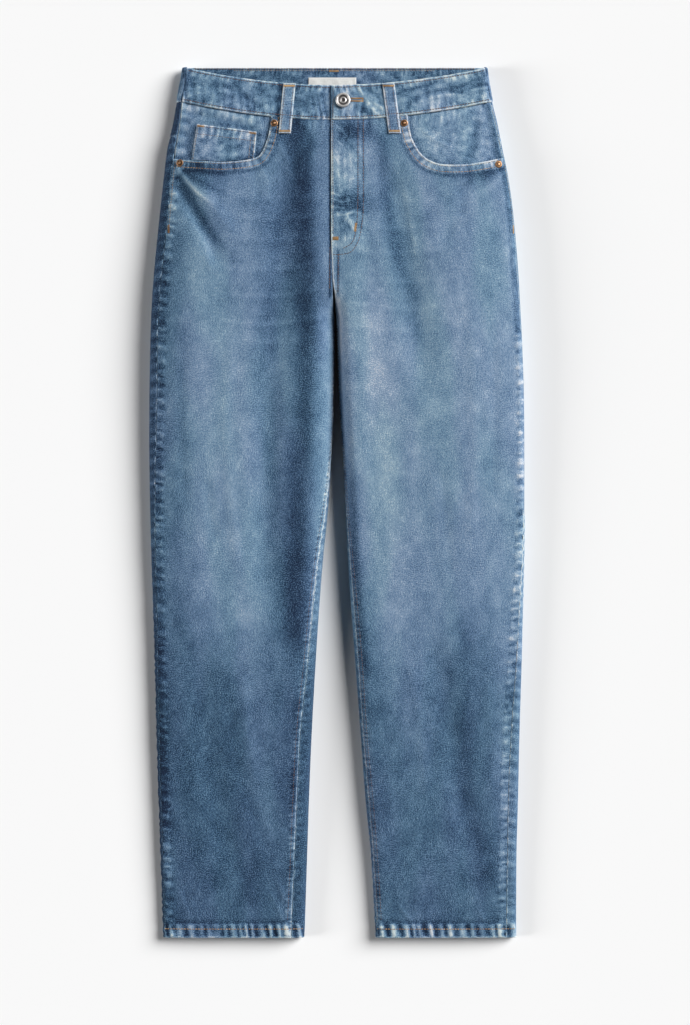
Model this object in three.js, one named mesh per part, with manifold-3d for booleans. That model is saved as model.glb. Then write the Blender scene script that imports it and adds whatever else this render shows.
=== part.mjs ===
// Mom jeans laid flat with the front side up, waist toward +Y and hems toward -Y.
// Millimetres, +Z up, the surface they lie on is z = 0, and the wearer's right is at -X.
import * as THREE from 'three';
import { mergeVertices } from 'three/addons/utils/BufferGeometryUtils.js';
import Module from 'manifold-3d';

const wasm = await Module();
wasm.setup();

// Cloth and seams
const WALL = 1.2;
const GAP = 0.3;
const LAYER_GAP = 0.5;
const BAND_WALL = 2.6;
const BAND_RAISE = 0.8;
const TRIM_WALL = 1.5;
const UNDER_LIFT = TRIM_WALL + GAP;

// Places along the length
const HEM = -500;
const HEM_DEPTH = 16;
const LIFT_FROM = 185;
const LIFT_TO = 222;
const CROTCH_LOW = 205;
const CROTCH_HIGH = 247;
const WAIST_SEAM = 460;
const WAIST_TOP = 500;
const CENTRE_X = -6;

// Front waist edge, which dips below the back one
const FRONT_DIP = 21.5;
const DIP_POWER = 1.9;
const DIP_FROM = 375;

// Side folds
const FOLD_RADIUS = 7;
const FOLD_FADE = 22;
const FOLD_ENDS = { start: 0.22, end: 0.7 };

// Fly
const FLY_BOTTOM = 292;
const FLY_LIFT = 1.5;
const FLY_SLOPE = { from: 34, to: 15 };
const FLY_END = { from: FLY_BOTTOM - 12, to: FLY_BOTTOM + 8 };
const SHIELD = { left: 34, right: -26, bottom: 276 };
const ZIP = { left: 16, right: -22, bottom: 300, thickness: 0.9 };
const FLY_TOP = WAIST_SEAM - 2;
const UNDERLAP = 30;
const UNDERLAP_STEP = { from: -24, to: -9 };
const UNDERLAP_POINTS = 6;

// Right half, from hem to waist: side edge, side seam, inner edge and inseam
const RIGHT_SECTIONS = [
  { y: -500, outer: -200.5, outseam: -197.6, inner: -37.9, inseam: -53.6 },
  { y: -410, outer: -203.4, outseam: -200.3, inner: -35.0, inseam: -49.4 },
  { y: -341, outer: -205.9, outseam: -202.4, inner: -32.7, inseam: -46.5 },
  { y: -272, outer: -208.0, outseam: -204.4, inner: -29.9, inseam: -43.0 },
  { y: -181, outer: -210.2, outseam: -206.0, inner: -24.9, inseam: -33.9 },
  { y: -112, outer: -212.3, outseam: -207.4, inner: -20.3, inseam: -27.6 },
  { y: -66, outer: -213.9, outseam: -208.6, inner: -16.6, inseam: -22.2 },
  { y: 3, outer: -215.6, outseam: -209.0, inner: -9.8, inseam: -12.4 },
  { y: 72, outer: -216.4, outseam: -207.8, inner: -6.3, inseam: -6.3 },
  { y: 118, outer: -216.2, outseam: -206.9, inner: -4.6, inseam: -4.6 },
  { y: 187, outer: -215.0, outseam: -206.0, inner: -3.6, inseam: -3.6 },
  { y: 232, outer: -213.2, outseam: -204.0, inner: -5.0, inseam: -5.0 },
  { y: 260, outer: -211.2, outseam: -201.4, inner: -6.0, inseam: -6.0 },
  { y: 324, outer: -205.0, outseam: -194.6, inner: -7.6, inseam: -7.6 },
  { y: 370, outer: -200.0, outseam: -190.6, inner: -7.6, inseam: -7.6 },
  { y: 405, outer: -195.7, outseam: -186.2, inner: -7.6, inseam: -7.6 },
  { y: 439, outer: -188.3, outseam: -180.8, inner: -7.6, inseam: -7.6 },
  { y: 460, outer: -185.0, outseam: -178.5, inner: -7.6, inseam: -7.6 },
  { y: 500, outer: -178.5, outseam: -172.5, inner: -7.6, inseam: -7.6 },
];

// Left half, with the same columns
const LEFT_SECTIONS = [
  { y: -500, outer: 205.4, outseam: 193.5, inner: 43.6, inseam: 46.0 },
  { y: -410, outer: 205.8, outseam: 194.6, inner: 38.8, inseam: 41.2 },
  { y: -341, outer: 207.6, outseam: 195.7, inner: 32.1, inseam: 35.6 },
  { y: -272, outer: 209.1, outseam: 198.6, inner: 27.0, inseam: 29.8 },
  { y: -181, outer: 211.8, outseam: 204.9, inner: 20.1, inseam: 23.6 },
  { y: -112, outer: 213.5, outseam: 209.0, inner: 14.9, inseam: 18.2 },
  { y: -66, outer: 214.6, outseam: 211.9, inner: 12.1, inseam: 14.6 },
  { y: 3, outer: 215.4, outseam: 213.4, inner: 8.6, inseam: 9.6 },
  { y: 72, outer: 215.3, outseam: 213.6, inner: 5.2, inseam: 5.2 },
  { y: 118, outer: 214.9, outseam: 213.2, inner: 2.3, inseam: 2.3 },
  { y: 187, outer: 212.6, outseam: 211.0, inner: -0.5, inseam: -0.5 },
  { y: 232, outer: 210.2, outseam: 208.6, inner: -2.6, inseam: -2.6 },
  { y: 260, outer: 208.6, outseam: 206.6, inner: -6.0, inseam: -6.0 },
  { y: 324, outer: 203.4, outseam: 202.0, inner: -7.6, inseam: -7.6 },
  { y: 370, outer: 197.4, outseam: 196.0, inner: -7.6, inseam: -7.6 },
  { y: 405, outer: 190.4, outseam: 188.4, inner: -7.6, inseam: -7.6 },
  { y: 439, outer: 183.6, outseam: 181.4, inner: -7.6, inseam: -7.6 },
  { y: 460, outer: 178.4, outseam: 176.2, inner: -7.6, inseam: -7.6 },
  { y: 500, outer: 172.4, outseam: 169.4, inner: -7.6, inseam: -7.6 },
];

// Height of the front above the surface, and of the widest point of the side folds
const HEIGHT_SECTIONS = [
  { y: -500, top: 14, edge: 5.5 },
  { y: -410, top: 18, edge: 6.5 },
  { y: -272, top: 22, edge: 7.5 },
  { y: -112, top: 27, edge: 8.5 },
  { y: 3, top: 31, edge: 9.5 },
  { y: 118, top: 35, edge: 10.5 },
  { y: 187, top: 37, edge: 11.0 },
  { y: 278, top: 38, edge: 11.0 },
  { y: 370, top: 34, edge: 10.5 },
  { y: 439, top: 28, edge: 10.0 },
  { y: 460, top: 24.5, edge: 9.5 },
  { y: 500, top: 18.5, edge: 8.5 },
];

// Width over which the cloth swells up from its outer and inner edges
const SWELL = {
  right: { outer: 62, inner: 26 },
  left: { outer: 88, inner: 15 },
};

// Main folds of the front: a trough (rise below 0) or ridge along a line of points
const FOLDS = [
  { place: 'beside the fly, right', rise: -5.0, spread: 17,
    line: [[-58, 415], [-61, 345], [-64, 235], [-78, 118], [-82, -66], [-74, -150]] },
  { place: 'inner thigh, right', rise: 2.4, spread: 12,
    line: [[-24, 395], [-24, 290], [-30, 118], [-34, -66], [-46, -180]] },
  { place: 'from the pocket rivet, right', rise: -3.2, spread: 8,
    line: [[-178, 384], [-158, 359], [-141, 330], [-125, 298], [-104, 264]] },
  { place: 'above the rivet crease, right', rise: 2.2, spread: 9,
    line: [[-160, 378], [-140, 352], [-122, 322], [-106, 290]] },
  { place: 'lower leg, right', rise: -2.6, spread: 15,
    line: [[-160, -150], [-152, -260], [-132, -380], [-104, -452]] },
  { place: 'beside the fly, left', rise: -4.4, spread: 17,
    line: [[52, 405], [66, 345], [78, 278], [92, 190], [100, 100]] },
  { place: 'fly ridge, left', rise: 1.6, spread: 14,
    line: [[18, 400], [14, 300], [20, 200], [24, 60], [34, -80]] },
  { place: 'lower leg, left', rise: -3.0, spread: 15,
    line: [[104, -130], [126, -240], [142, -330], [160, -440]] },
  { place: 'below the pocket, left', rise: -1.6, spread: 9,
    line: [[176, 376], [150, 352], [128, 318], [116, 284]] },
];

// Front pocket mouths, from the waist seam down and out to the side seam
const MOUTH_RIGHT = [
  [-76, 446], [-77, 432], [-80, 417], [-86.5, 401], [-96, 393.4],
  [-127, 389.4], [-157, 390.6], [-176, 392.2], [-200, 394.5],
];
const MOUTH_LEFT = [
  [80, 446], [81, 437], [85.3, 417], [96, 398.4], [111, 388.8],
  [126, 386.4], [148, 387], [170, 390.6], [200, 396.5],
];
const MOUTH_POINTS = 22;
const MOUTH_CUT = { side: 240, top: 480 };
const FACING = { right: -66, left: 70, bottom: 379, seam: 2.5 };

// Coin pocket on the right facing, corners from its upper outer one round
const COIN_CORNERS = [[-161, 433.2], [-92.4, 424.2], [-95.9, 388], [-168, 388]];
const COIN_CLEAR = 0.6;

// Belt loops
const LOOP_WIDTH = 14;
const LOOP_RISE = { from: 9, to: 2 };
const FRONT_LOOPS = [
  { name: 'belt_loop_front_right', half: 'right', top: [-55, 480.2], foot: [-60.4, 422] },
  { name: 'belt_loop_front_left', half: 'left', top: [58.2, 480.2], foot: [65.6, 422] },
];
const BACK_LOOPS = [
  { name: 'belt_loop_back_right', x: -116 },
  { name: 'belt_loop_back_centre', x: -3 },
  { name: 'belt_loop_back_left', x: 108 },
];
const BACK_LOOP = { low: 444, high: 499.5 };

// Back yoke seam, from the side down to centre back
const YOKE = { side: 420, centre: 384, level: 0.05 };

// Back patch pockets: half widths at the mouth and foot, and heights
const BACK_POCKET = { mouth: 68, foot: 60, top: 376, corner: 262, point: 238, inset: 88 };

// Metal
const BUTTON = { x: 6.3, y: 460, radius: 8.6, height: 3.4, sides: 20 };
const RIVET = { radius: 4.1, height: 1.4, sides: 12 };
const RIVETS = [
  { name: 'rivet_right_inner', half: 'right', at: [-72.4, 434] },
  { name: 'rivet_right_outer', half: 'right', at: [-180.2, 388.6] },
  { name: 'rivet_left_inner', half: 'left', at: [76.4, 434] },
  { name: 'rivet_left_outer', half: 'left', at: [184.4, 387.4] },
];

// Label inside the back waistband
const LABEL = { width: 55, low: 464, high: 488.8, thickness: 0.6 };

// Mesh density
const ACROSS_SAMPLES = 90;
const TANGENT_REACH = 0.8;
const FRONT_COLUMNS = [
  0, 0.02, 0.045, 0.08, 0.13, 0.19, 0.25, 0.31, 0.37, 0.43,
  0.49, 0.55, 0.61, 0.67, 0.73, 0.79, 0.85, 0.91, 0.96, 1,
];
const BACK_COLUMNS = [0, 0.035, 0.065, 0.095, 0.13, 0.3, 0.5, 0.7, 0.86, 0.9, 0.93, 0.965, 1];
const LEG_ROWS = [
  -500, -484, -430, -375, -320, -265, -210, -155, -100, -45, 10,
  60, 105, 145, 175, 195, 212, 230, 247, 266, 286, 306,
];
const SEAT_ROWS = [326, 346, 366, 384, 402];
const YOKE_ROWS = [440];
const FACING_ROWS = [FACING.bottom, 390, 402, YOKE.side, ...YOKE_ROWS];
const FACING_COLUMNS = 9;
const COIN_GRID = { across: 8, down: 6 };
const LOOP_GRID = { across: 3, down: 7 };
const FLY_GRID = { across: 6, down: 9 };

const mix = THREE.MathUtils.lerp;
const clamp = THREE.MathUtils.clamp;

// Smooth step of a value from 0 at one limit to 1 at the other
function step(from, to, value) {
  const share = clamp((value - from) / (to - from), 0, 1);
  return share * share * (3 - 2 * share);
}

// Quarter-circle rise of a fold from its edge
function round(share) {
  return Math.sqrt(1 - (1 - clamp(share, 0, 1)) ** 2);
}

// Slower rise of the cloth's crown
function swell(share) {
  return 1 - (1 - clamp(share, 0, 1)) ** 2;
}

// Curve through one column of a section table that never overshoots its rows
function curve(rows, column) {
  const slopes = rows.slice(1).map((row, i) => (row[column] - rows[i][column]) / (row.y - rows[i].y));
  const tangents = rows.map((row, i) => {
    const before = slopes[Math.max(i - 1, 0)];
    const after = slopes[Math.min(i, slopes.length - 1)];
    return before * after > 0 ? (2 * before * after) / (before + after) : 0;
  });
  return (y) => {
    const last = rows.length - 2;
    const found = rows.findIndex((row) => row.y > y) - 1;
    const i = found === -2 ? last : Math.max(found, 0);
    const span = rows[i + 1].y - rows[i].y;
    const t = clamp((y - rows[i].y) / span, 0, 1);
    const bend = t * t * (3 - 2 * t);
    return mix(rows[i][column], rows[i + 1][column], bend)
      + span * t * (1 - t) * ((1 - t) * tangents[i] - t * tangents[i + 1]);
  };
}

const topAt = curve(HEIGHT_SECTIONS, 'top');
const edgeAt = curve(HEIGHT_SECTIONS, 'edge');

// Nearest distance to a fold's line, and how far along it that is, from 0 to 1
function alongLine(line, x, y) {
  let best = { distance: Infinity, share: 0 };
  for (let i = 0; i + 1 < line.length; i += 1) {
    const [ax, ay] = line[i];
    const [bx, by] = line[i + 1];
    const lengthSquared = (bx - ax) ** 2 + (by - ay) ** 2;
    const t = clamp(((x - ax) * (bx - ax) + (y - ay) * (by - ay)) / lengthSquared, 0, 1);
    const distance = Math.hypot(x - mix(ax, bx, t), y - mix(ay, by, t));
    if (distance < best.distance) best = { distance, share: (i + t) / (line.length - 1) };
  }
  return best;
}

// Height that the main folds add at a point of the front
function foldHeight(x, y) {
  return FOLDS.reduce((sum, fold) => {
    const { distance, share } = alongLine(fold.line, x, y);
    const fade = step(0, FOLD_ENDS.start, share) * step(1, FOLD_ENDS.end, share);
    return sum + fold.rise * fade * Math.exp(-((distance / fold.spread) ** 2));
  }, 0);
}

// One half of the jeans: a leg and its side of the seat
class Half {
  constructor(rows, widths) {
    this.outer = curve(rows, 'outer');
    this.inner = curve(rows, 'inner');
    this.outseam = curve(rows, 'outseam');
    this.inseam = curve(rows, 'inseam');
    this.inward = Math.sign(rows[0].inner - rows[0].outer);
    this.widths = widths;
    this.rings = new Map();
  }

  // Rounding at the inner edge, which is full at the legs and gone above the crotch
  innerRise(shape, distance, y) {
    return mix(shape(distance), 1, step(CROTCH_LOW, CROTCH_HIGH, y));
  }

  // Height of the front's outer face
  front(x, y) {
    const fromOuter = (x - this.outer(y)) * this.inward;
    const fromInner = (this.inner(y) - x) * this.inward;
    const edge = edgeAt(y);
    const rounded = round(fromOuter / FOLD_RADIUS)
      * this.innerRise((d) => round(d / FOLD_RADIUS), fromInner, y);
    const swollen = swell(fromOuter / this.widths.outer)
      * this.innerRise((d) => swell(d / this.widths.inner), fromInner, y);
    const folded = swell(fromOuter / FOLD_FADE)
      * this.innerRise((d) => swell(d / FOLD_FADE), fromInner, y);
    return edge * (1 + rounded) + (topAt(y) - 2 * edge) * swollen
      + foldHeight(x, y) * folded + this.flyLift(x, y);
  }

  // Extra height where the left front laps over the fly
  flyLift(x, y) {
    if (this.inward > 0) return 0;
    return FLY_LIFT * step(FLY_SLOPE.from, FLY_SLOPE.to, x) * step(FLY_END.from, FLY_END.to, y);
  }

  // Height of the back's outer face, raised where pockets and loops lie under it
  back(x, y) {
    const fromOuter = (x - this.outer(y)) * this.inward;
    const fromInner = (this.inner(y) - x) * this.inward;
    const floor = UNDER_LIFT * step(LIFT_FROM, LIFT_TO, y);
    const flat = round(fromOuter / FOLD_RADIUS)
      * this.innerRise((d) => round(d / FOLD_RADIUS), fromInner, y);
    return floor + (edgeAt(y) - floor) * (1 - flat);
  }

  // How far the front hangs below the straight waist line at a point across it
  dip(x, y) {
    const side = this.outseam(WAIST_SEAM);
    const share = clamp((x - side) / (CENTRE_X - side), 0, 1);
    return FRONT_DIP * (1 - (1 - share) ** DIP_POWER) * step(DIP_FROM, WAIST_SEAM, y);
  }

  // Point on the front's outer face, given its height before the waist dips
  frontPoint(x, y) {
    const hung = y - this.dip(x, y);
    return new THREE.Vector3(x, hung, this.front(x, hung));
  }

  // Direction out of the front's face
  frontNormal(x, y) {
    const reach = TANGENT_REACH;
    const slopeX = (this.front(x + reach, y) - this.front(x - reach, y)) / (2 * reach);
    const slopeY = (this.front(x, y + reach) - this.front(x, y - reach)) / (2 * reach);
    return new THREE.Vector3(-slopeX, -slopeY, 1).normalize();
  }

  // Line round the whole section: from the inseam over the front to the outseam,
  // round the side fold, across the back and up the inner fold to the inseam again
  ring(y) {
    if (!this.rings.has(y)) this.rings.set(y, this.makeRing(y));
    return this.rings.get(y);
  }

  makeRing(y) {
    const rise = (x) => new THREE.Vector3(x, y, this.front(x, y));
    const flat = (x) => new THREE.Vector3(x, y, this.back(x, y));
    const front = eased(this.inseam(y), this.outseam(y)).map((x) => this.frontPoint(x, y));
    const back = eased(this.outseam(y), this.outer(y)).slice(1).map(rise);
    back.push(...eased(this.outer(y), this.inner(y)).slice(1).map(flat));
    if (Math.abs(this.inseam(y) - this.inner(y)) > GAP) {
      back.push(...eased(this.inner(y), this.inseam(y)).slice(1).map(rise));
    }
    return new Ring(front, back);
  }

  // Point inside the hollow beside a point of the wall
  core(point) {
    const margin = edgeAt(point.y);
    const sides = [this.outer(point.y) + margin * this.inward, this.inner(point.y) - margin * this.inward];
    return new THREE.Vector3(
      clamp(point.x, Math.min(...sides), Math.max(...sides)), point.y, edgeAt(point.y));
  }

  // Spots of one part of the section: each height may change across it
  spots(part, fractions, heights) {
    return withNormals(heights.map((height) => fractions.map((share) => {
      const y = typeof height === 'function' ? height(share) : height;
      return this.ring(y).spot(part, share);
    })), (point) => this.core(point));
  }
}

// Section line with its front and back parts measured along it
class Ring {
  constructor(front, back) {
    this.points = [...front, ...back];
    this.lengths = [0];
    for (let i = 1; i < this.points.length; i += 1) {
      this.lengths.push(this.lengths[i - 1] + this.points[i].distanceTo(this.points[i - 1]));
    }
    this.whole = this.lengths.at(-1);
    this.ranges = {
      front: [this.lengths[front.length - 1] - GAP / 2, GAP / 2],
      back: [this.lengths[front.length - 1] + GAP / 2, this.whole - GAP / 2],
    };
    this.closed = this.points[0].distanceTo(this.points.at(-1)) < 2 * GAP;
  }

  // Point at a length along the line, which runs on round a closed section
  at(length) {
    const target = this.closed
      ? THREE.MathUtils.euclideanModulo(length, this.whole)
      : clamp(length, 0, this.whole);
    const found = this.lengths.findIndex((l) => l > target);
    const i = found < 1 ? this.points.length - 1 : found;
    const t = (target - this.lengths[i - 1]) / (this.lengths[i] - this.lengths[i - 1] || 1);
    return this.points[i - 1].clone().lerp(this.points[i], t);
  }

  // Point and direction of the line at a share of a part, counted from the outseam
  spot(part, share) {
    const length = mix(...this.ranges[part], share);
    const tangent = this.at(length + TANGENT_REACH).sub(this.at(length - TANGENT_REACH));
    return { point: this.at(length), tangent };
  }
}

const HALVES = {
  right: new Half(RIGHT_SECTIONS, SWELL.right),
  left: new Half(LEFT_SECTIONS, SWELL.left),
};

// Values from one to another, close together at both ends
function eased(from, to, count = ACROSS_SAMPLES) {
  return shares(count).map((share) => mix(from, to, (1 - Math.cos(Math.PI * share)) / 2));
}

// Even shares from 0 to 1
function shares(count) {
  return Array.from({ length: count }, (_, i) => i / (count - 1));
}

// Adds to each spot of a grid the direction out of the cloth
function withNormals(rows, core) {
  return rows.map((row, r) => row.map(({ point, tangent }, c) => {
    const below = rows[Math.max(r - 1, 0)][c].point;
    const above = rows[Math.min(r + 1, rows.length - 1)][c].point;
    const normal = tangent.clone().cross(above.clone().sub(below)).normalize();
    if (normal.dot(point.clone().sub(core(point))) < 0) normal.negate();
    return { point, normal };
  }));
}

// Closed wall over a grid of spots, from one offset to another along their normals
function wall(rows, outside, inside, closed = false) {
  const columns = rows[0].length;
  const skin = (offset) => rows.flat().map(({ point, normal }) => point.clone().addScaledVector(normal, offset));
  const points = [...skin(outside), ...skin(inside)];
  const depth = rows.length * columns;
  const triangles = [];
  const quad = (a, b, c, d) => triangles.push(a, b, c, a, c, d);
  const spans = closed ? columns : columns - 1;
  for (let r = 0; r + 1 < rows.length; r += 1) {
    for (let c = 0; c < spans; c += 1) {
      const a = r * columns + c;
      const b = r * columns + ((c + 1) % columns);
      quad(a, b, b + columns, a + columns);
      quad(a + columns + depth, b + columns + depth, b + depth, a + depth);
    }
    if (!closed) {
      const a = r * columns;
      const b = a + columns - 1;
      quad(a + depth, a, a + columns, a + columns + depth);
      quad(b, b + depth, b + columns + depth, b + columns);
    }
  }
  for (let c = 0; c < spans; c += 1) {
    const next = (c + 1) % columns;
    const end = (rows.length - 1) * columns;
    quad(c + depth, next + depth, next, c);
    quad(end + c, end + next, end + next + depth, end + c + depth);
  }
  return facingOut(points, triangles);
}

// Geometry of a closed body with its faces turned out
function facingOut(points, triangles) {
  let volume = 0;
  for (let i = 0; i < triangles.length; i += 3) {
    const [a, b, c] = [0, 1, 2].map((k) => points[triangles[i + k]]);
    volume += a.dot(b.clone().cross(c));
  }
  if (volume < 0) triangles.reverse();
  const geometry = new THREE.BufferGeometry();
  geometry.setAttribute('position', new THREE.Float32BufferAttribute(points.flatMap((p) => p.toArray()), 3));
  geometry.setIndex(triangles);
  return geometry;
}

// Conversion of a closed geometry to a solid that can be cut, and back
function toSolid(geometry) {
  const bare = geometry.clone();
  bare.deleteAttribute('normal');
  bare.deleteAttribute('uv');
  const merged = mergeVertices(bare, 1e-4);
  return new wasm.Manifold(new wasm.Mesh({
    numProp: 3,
    vertProperties: new Float32Array(merged.attributes.position.array),
    triVerts: new Uint32Array(merged.index.array),
  }));
}

function toGeometry(solid) {
  const mesh = solid.getMesh();
  const geometry = new THREE.BufferGeometry();
  geometry.setAttribute('position', new THREE.Float32BufferAttribute(mesh.vertProperties, 3));
  geometry.setIndex(Array.from(mesh.triVerts));
  return geometry;
}

// Upright prism over an outline, as a cutter
const PRISM_HEIGHT = 80;
function prism(outline) {
  const shape = new THREE.Shape(outline.map(([x, y]) => new THREE.Vector2(x, y)));
  return toSolid(new THREE.ExtrudeGeometry(shape, { depth: PRISM_HEIGHT, bevelEnabled: false }));
}

// Outline of the space above and outside a pocket mouth, moved by a clearance
function mouthOutline(points, clear = 0) {
  const side = Math.sign(points[0][0]);
  const spline = new THREE.SplineCurve(points.map(([x, y]) => new THREE.Vector2(x + side * clear, y + clear)));
  const mouth = spline.getPoints(MOUTH_POINTS).map((p) => [p.x, p.y]);
  const outX = MOUTH_CUT.side * side;
  return [...mouth, [outX, mouth.at(-1)[1]], [outX, MOUTH_CUT.top], [mouth[0][0], MOUTH_CUT.top]];
}

// Front leg with its curved pocket mouth cut away
function frontLeg(half, mouth) {
  const rows = [...LEG_ROWS, ...SEAT_ROWS, YOKE.side, ...YOKE_ROWS, WAIST_SEAM - GAP / 2];
  const whole = toSolid(wall(half.spots('front', FRONT_COLUMNS, rows), 0, -WALL));
  return toGeometry(whole.subtract(prism(mouthOutline(mouth))));
}

// Height of the yoke seam at a share of the way from the side seam to centre back
function yokeSeam(share) {
  return mix(YOKE.side, YOKE.centre, step(YOKE.level, 1, share));
}

// Back leg up to the yoke seam
function backLeg(half) {
  const base = LEG_ROWS.at(-1);
  const seat = [...SEAT_ROWS, YOKE.side - GAP / 2].map((y) => (share) =>
    mix(base, yokeSeam(share), (y - base) / (YOKE.side - base)));
  return wall(half.spots('back', BACK_COLUMNS, [...LEG_ROWS, ...seat]), 0, -WALL);
}

// Back yoke between the back leg and the waistband
function yoke(half) {
  const rows = [YOKE.side + GAP / 2, ...YOKE_ROWS, WAIST_SEAM - GAP / 2].map((y) => (share) =>
    mix(yokeSeam(share), WAIST_SEAM, (y - YOKE.side) / (WAIST_SEAM - YOKE.side)));
  return wall(half.spots('back', BACK_COLUMNS, rows), 0, -WALL);
}

// Facing under a pocket mouth
function pocketFacing(half, innerX) {
  const rows = [...FACING_ROWS, WAIST_SEAM - GAP / 2];
  const spots = rows.map((y) => eased(half.outseam(y) + FACING.seam * half.inward, innerX, FACING_COLUMNS).map((x) => {
    const point = half.frontPoint(x, y);
    return { point, normal: half.frontNormal(x, point.y) };
  }));
  return wall(spots, -(WALL + LAYER_GAP), -(2 * WALL + LAYER_GAP));
}

// Patch of the front's face with four corners, given round from the upper outer one
function frontPatch(half, corners, { across, down }, rise = () => 0) {
  const [upperA, upperB, lowerB, lowerA] = corners;
  return shares(down).map((v) => shares(across).map((u) => {
    const x = mix(mix(lowerA[0], lowerB[0], u), mix(upperA[0], upperB[0], u), v);
    const y = mix(mix(lowerA[1], lowerB[1], u), mix(upperA[1], upperB[1], u), v);
    return {
      point: new THREE.Vector3(x, y, half.front(x, y) + rise(y)),
      normal: half.frontNormal(x, y),
    };
  }));
}

// Coin pocket, trimmed where it goes down behind the pocket mouth
function coinPocket() {
  const patch = toSolid(wall(frontPatch(HALVES.right, COIN_CORNERS, COIN_GRID), 0, -WALL));
  return toGeometry(patch.intersect(prism(mouthOutline(MOUTH_RIGHT, COIN_CLEAR))));
}

// Belt loop on the front, from the waistband's top edge to just below its seam
function frontLoop(half, top, foot) {
  const reach = LOOP_WIDTH / 2;
  const seamY = half.frontPoint(foot[0], WAIST_SEAM).y;
  const rise = (y) => BAND_RAISE * step(seamY - LOOP_RISE.from, seamY - LOOP_RISE.to, y);
  const corners = [[top[0] - reach, top[1]], [top[0] + reach, top[1]],
    [foot[0] + reach, foot[1]], [foot[0] - reach, foot[1]]];
  return wall(frontPatch(half, corners, LOOP_GRID, rise), GAP + TRIM_WALL, GAP);
}

// Flat plate on the underside
function plate(outline, thickness) {
  const shape = new THREE.Shape(outline.map(([x, y]) => new THREE.Vector2(x, y)));
  return new THREE.ExtrudeGeometry(shape, { depth: thickness, bevelEnabled: false });
}

// Outline of a back pocket around its middle line
function backPocket(middle) {
  const { mouth, foot, top, corner, point } = BACK_POCKET;
  return plate([[middle - mouth, top], [middle - foot, corner], [middle, point],
    [middle + foot, corner], [middle + mouth, top]], TRIM_WALL);
}

// Rectangle outline
function rectangle(x, width, low, high) {
  return [[x - width / 2, low], [x + width / 2, low], [x + width / 2, high], [x - width / 2, high]];
}

const BAND_ROWS = [WAIST_SEAM + GAP / 2, 473, 487, WAIST_TOP];

// Left front waistband, raised a little over the leg below it
function leftBand() {
  return wall(HALVES.left.spots('front', FRONT_COLUMNS, BAND_ROWS), BAND_RAISE, BAND_RAISE - BAND_WALL);
}

// Right front waistband, whose end steps down and runs on under the left one
function rightBand() {
  const { right, left } = HALVES;
  const underLeft = BAND_WALL + GAP;
  const rows = right.spots('front', FRONT_COLUMNS, BAND_ROWS);
  rows.forEach((row, r) => {
    for (const spot of row) {
      spot.point.z -= (underLeft - FLY_LIFT) * step(UNDERLAP_STEP.from, UNDERLAP_STEP.to, spot.point.x);
    }
    const end = row.at(-1).point.x;
    row.push(...shares(UNDERLAP_POINTS).slice(1).map((share) => {
      const x = mix(end, UNDERLAP, share);
      const point = left.frontPoint(x, BAND_ROWS[r]);
      const normal = left.frontNormal(Math.max(x, left.inner(point.y) + TANGENT_REACH), point.y);
      point.z -= underLeft;
      return { point, normal };
    }));
  });
  return wall(rows, BAND_RAISE, BAND_RAISE - BAND_WALL);
}

// Back waistband, round from the right side seam to the left one
function backBand() {
  const rows = HALVES.right.spots('back', BACK_COLUMNS, BAND_ROWS);
  const leftRows = HALVES.left.spots('back', BACK_COLUMNS.toReversed().slice(1), BAND_ROWS);
  return wall(rows.map((row, r) => [...row, ...leftRows[r]]), 0, -BAND_WALL);
}

// Strip behind the fly, at an offset below the front's outer face
function flyStrip({ left, right, bottom }, outside, thickness) {
  const rows = shares(FLY_GRID.down).map((v) => shares(FLY_GRID.across).map((u) => {
    const x = mix(right, left, u);
    const half = x < HALVES.left.inner(WAIST_SEAM) ? HALVES.right : HALVES.left;
    const y = mix(bottom, FLY_TOP, v);
    const point = half.frontPoint(x, y);
    point.z -= half.flyLift(x, point.y);
    return { point, normal: new THREE.Vector3(0, 0, 1) };
  }));
  return wall(rows, outside, outside - thickness);
}

// Turned-up hem inside a leg's end
function hem(half) {
  const rows = [HEM, HEM + HEM_DEPTH];
  const front = half.spots('front', FRONT_COLUMNS, rows);
  const back = half.spots('back', BACK_COLUMNS.toReversed(), rows);
  const ring = front.map((row, r) => [...row, ...back[r]]);
  return wall(ring, -(WALL + GAP), -(WALL + GAP + TRIM_WALL), true);
}

// Turned metal piece from a profile of radius and height shares
function turned(profile, radius, height, segments) {
  const points = profile.map(([r, h]) => new THREE.Vector2(r * radius, h * height));
  const geometry = new THREE.LatheGeometry(points, segments);
  geometry.rotateX(Math.PI / 2);
  return geometry;
}

const BUTTON_PROFILE = [[0, 0], [0.86, 0], [1, 0.35], [1, 0.7], [0.9, 1], [0.74, 1], [0.64, 0.72],
  [0.46, 0.66], [0.34, 0.86], [0, 0.92]];
const RIVET_PROFILE = [[0, 0], [1, 0], [0.94, 0.55], [0.62, 0.85], [0, 1]];

// Stands a metal piece on the front, square to its face
function seat(mesh, half, x, y, above) {
  const normal = half.frontNormal(x, y);
  mesh.quaternion.setFromUnitVectors(new THREE.Vector3(0, 0, 1), normal);
  mesh.position.set(x, y, half.front(x, y)).addScaledVector(normal, above);
}

const DENIM = { color: 0x6f8fb3, roughness: 0.95, metalness: 0 };
const INSIDE_DENIM = { color: 0x8c9db0, roughness: 0.95, metalness: 0 };
const TWILL_TAPE = { color: 0x46566b, roughness: 0.9, metalness: 0 };
const SILVER = { color: 0xb9b7b2, roughness: 0.35, metalness: 1 };
const COPPER = { color: 0xa8683f, roughness: 0.4, metalness: 1 };
const COTTON_LABEL = { color: 0xf2f0ea, roughness: 0.9, metalness: 0 };

const jeans = new THREE.Group();

// Adds a named piece with its own material
function add(name, geometry, look) {
  const mesh = new THREE.Mesh(geometry, new THREE.MeshStandardMaterial(look));
  mesh.name = name;
  jeans.add(mesh);
  return mesh;
}

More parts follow.
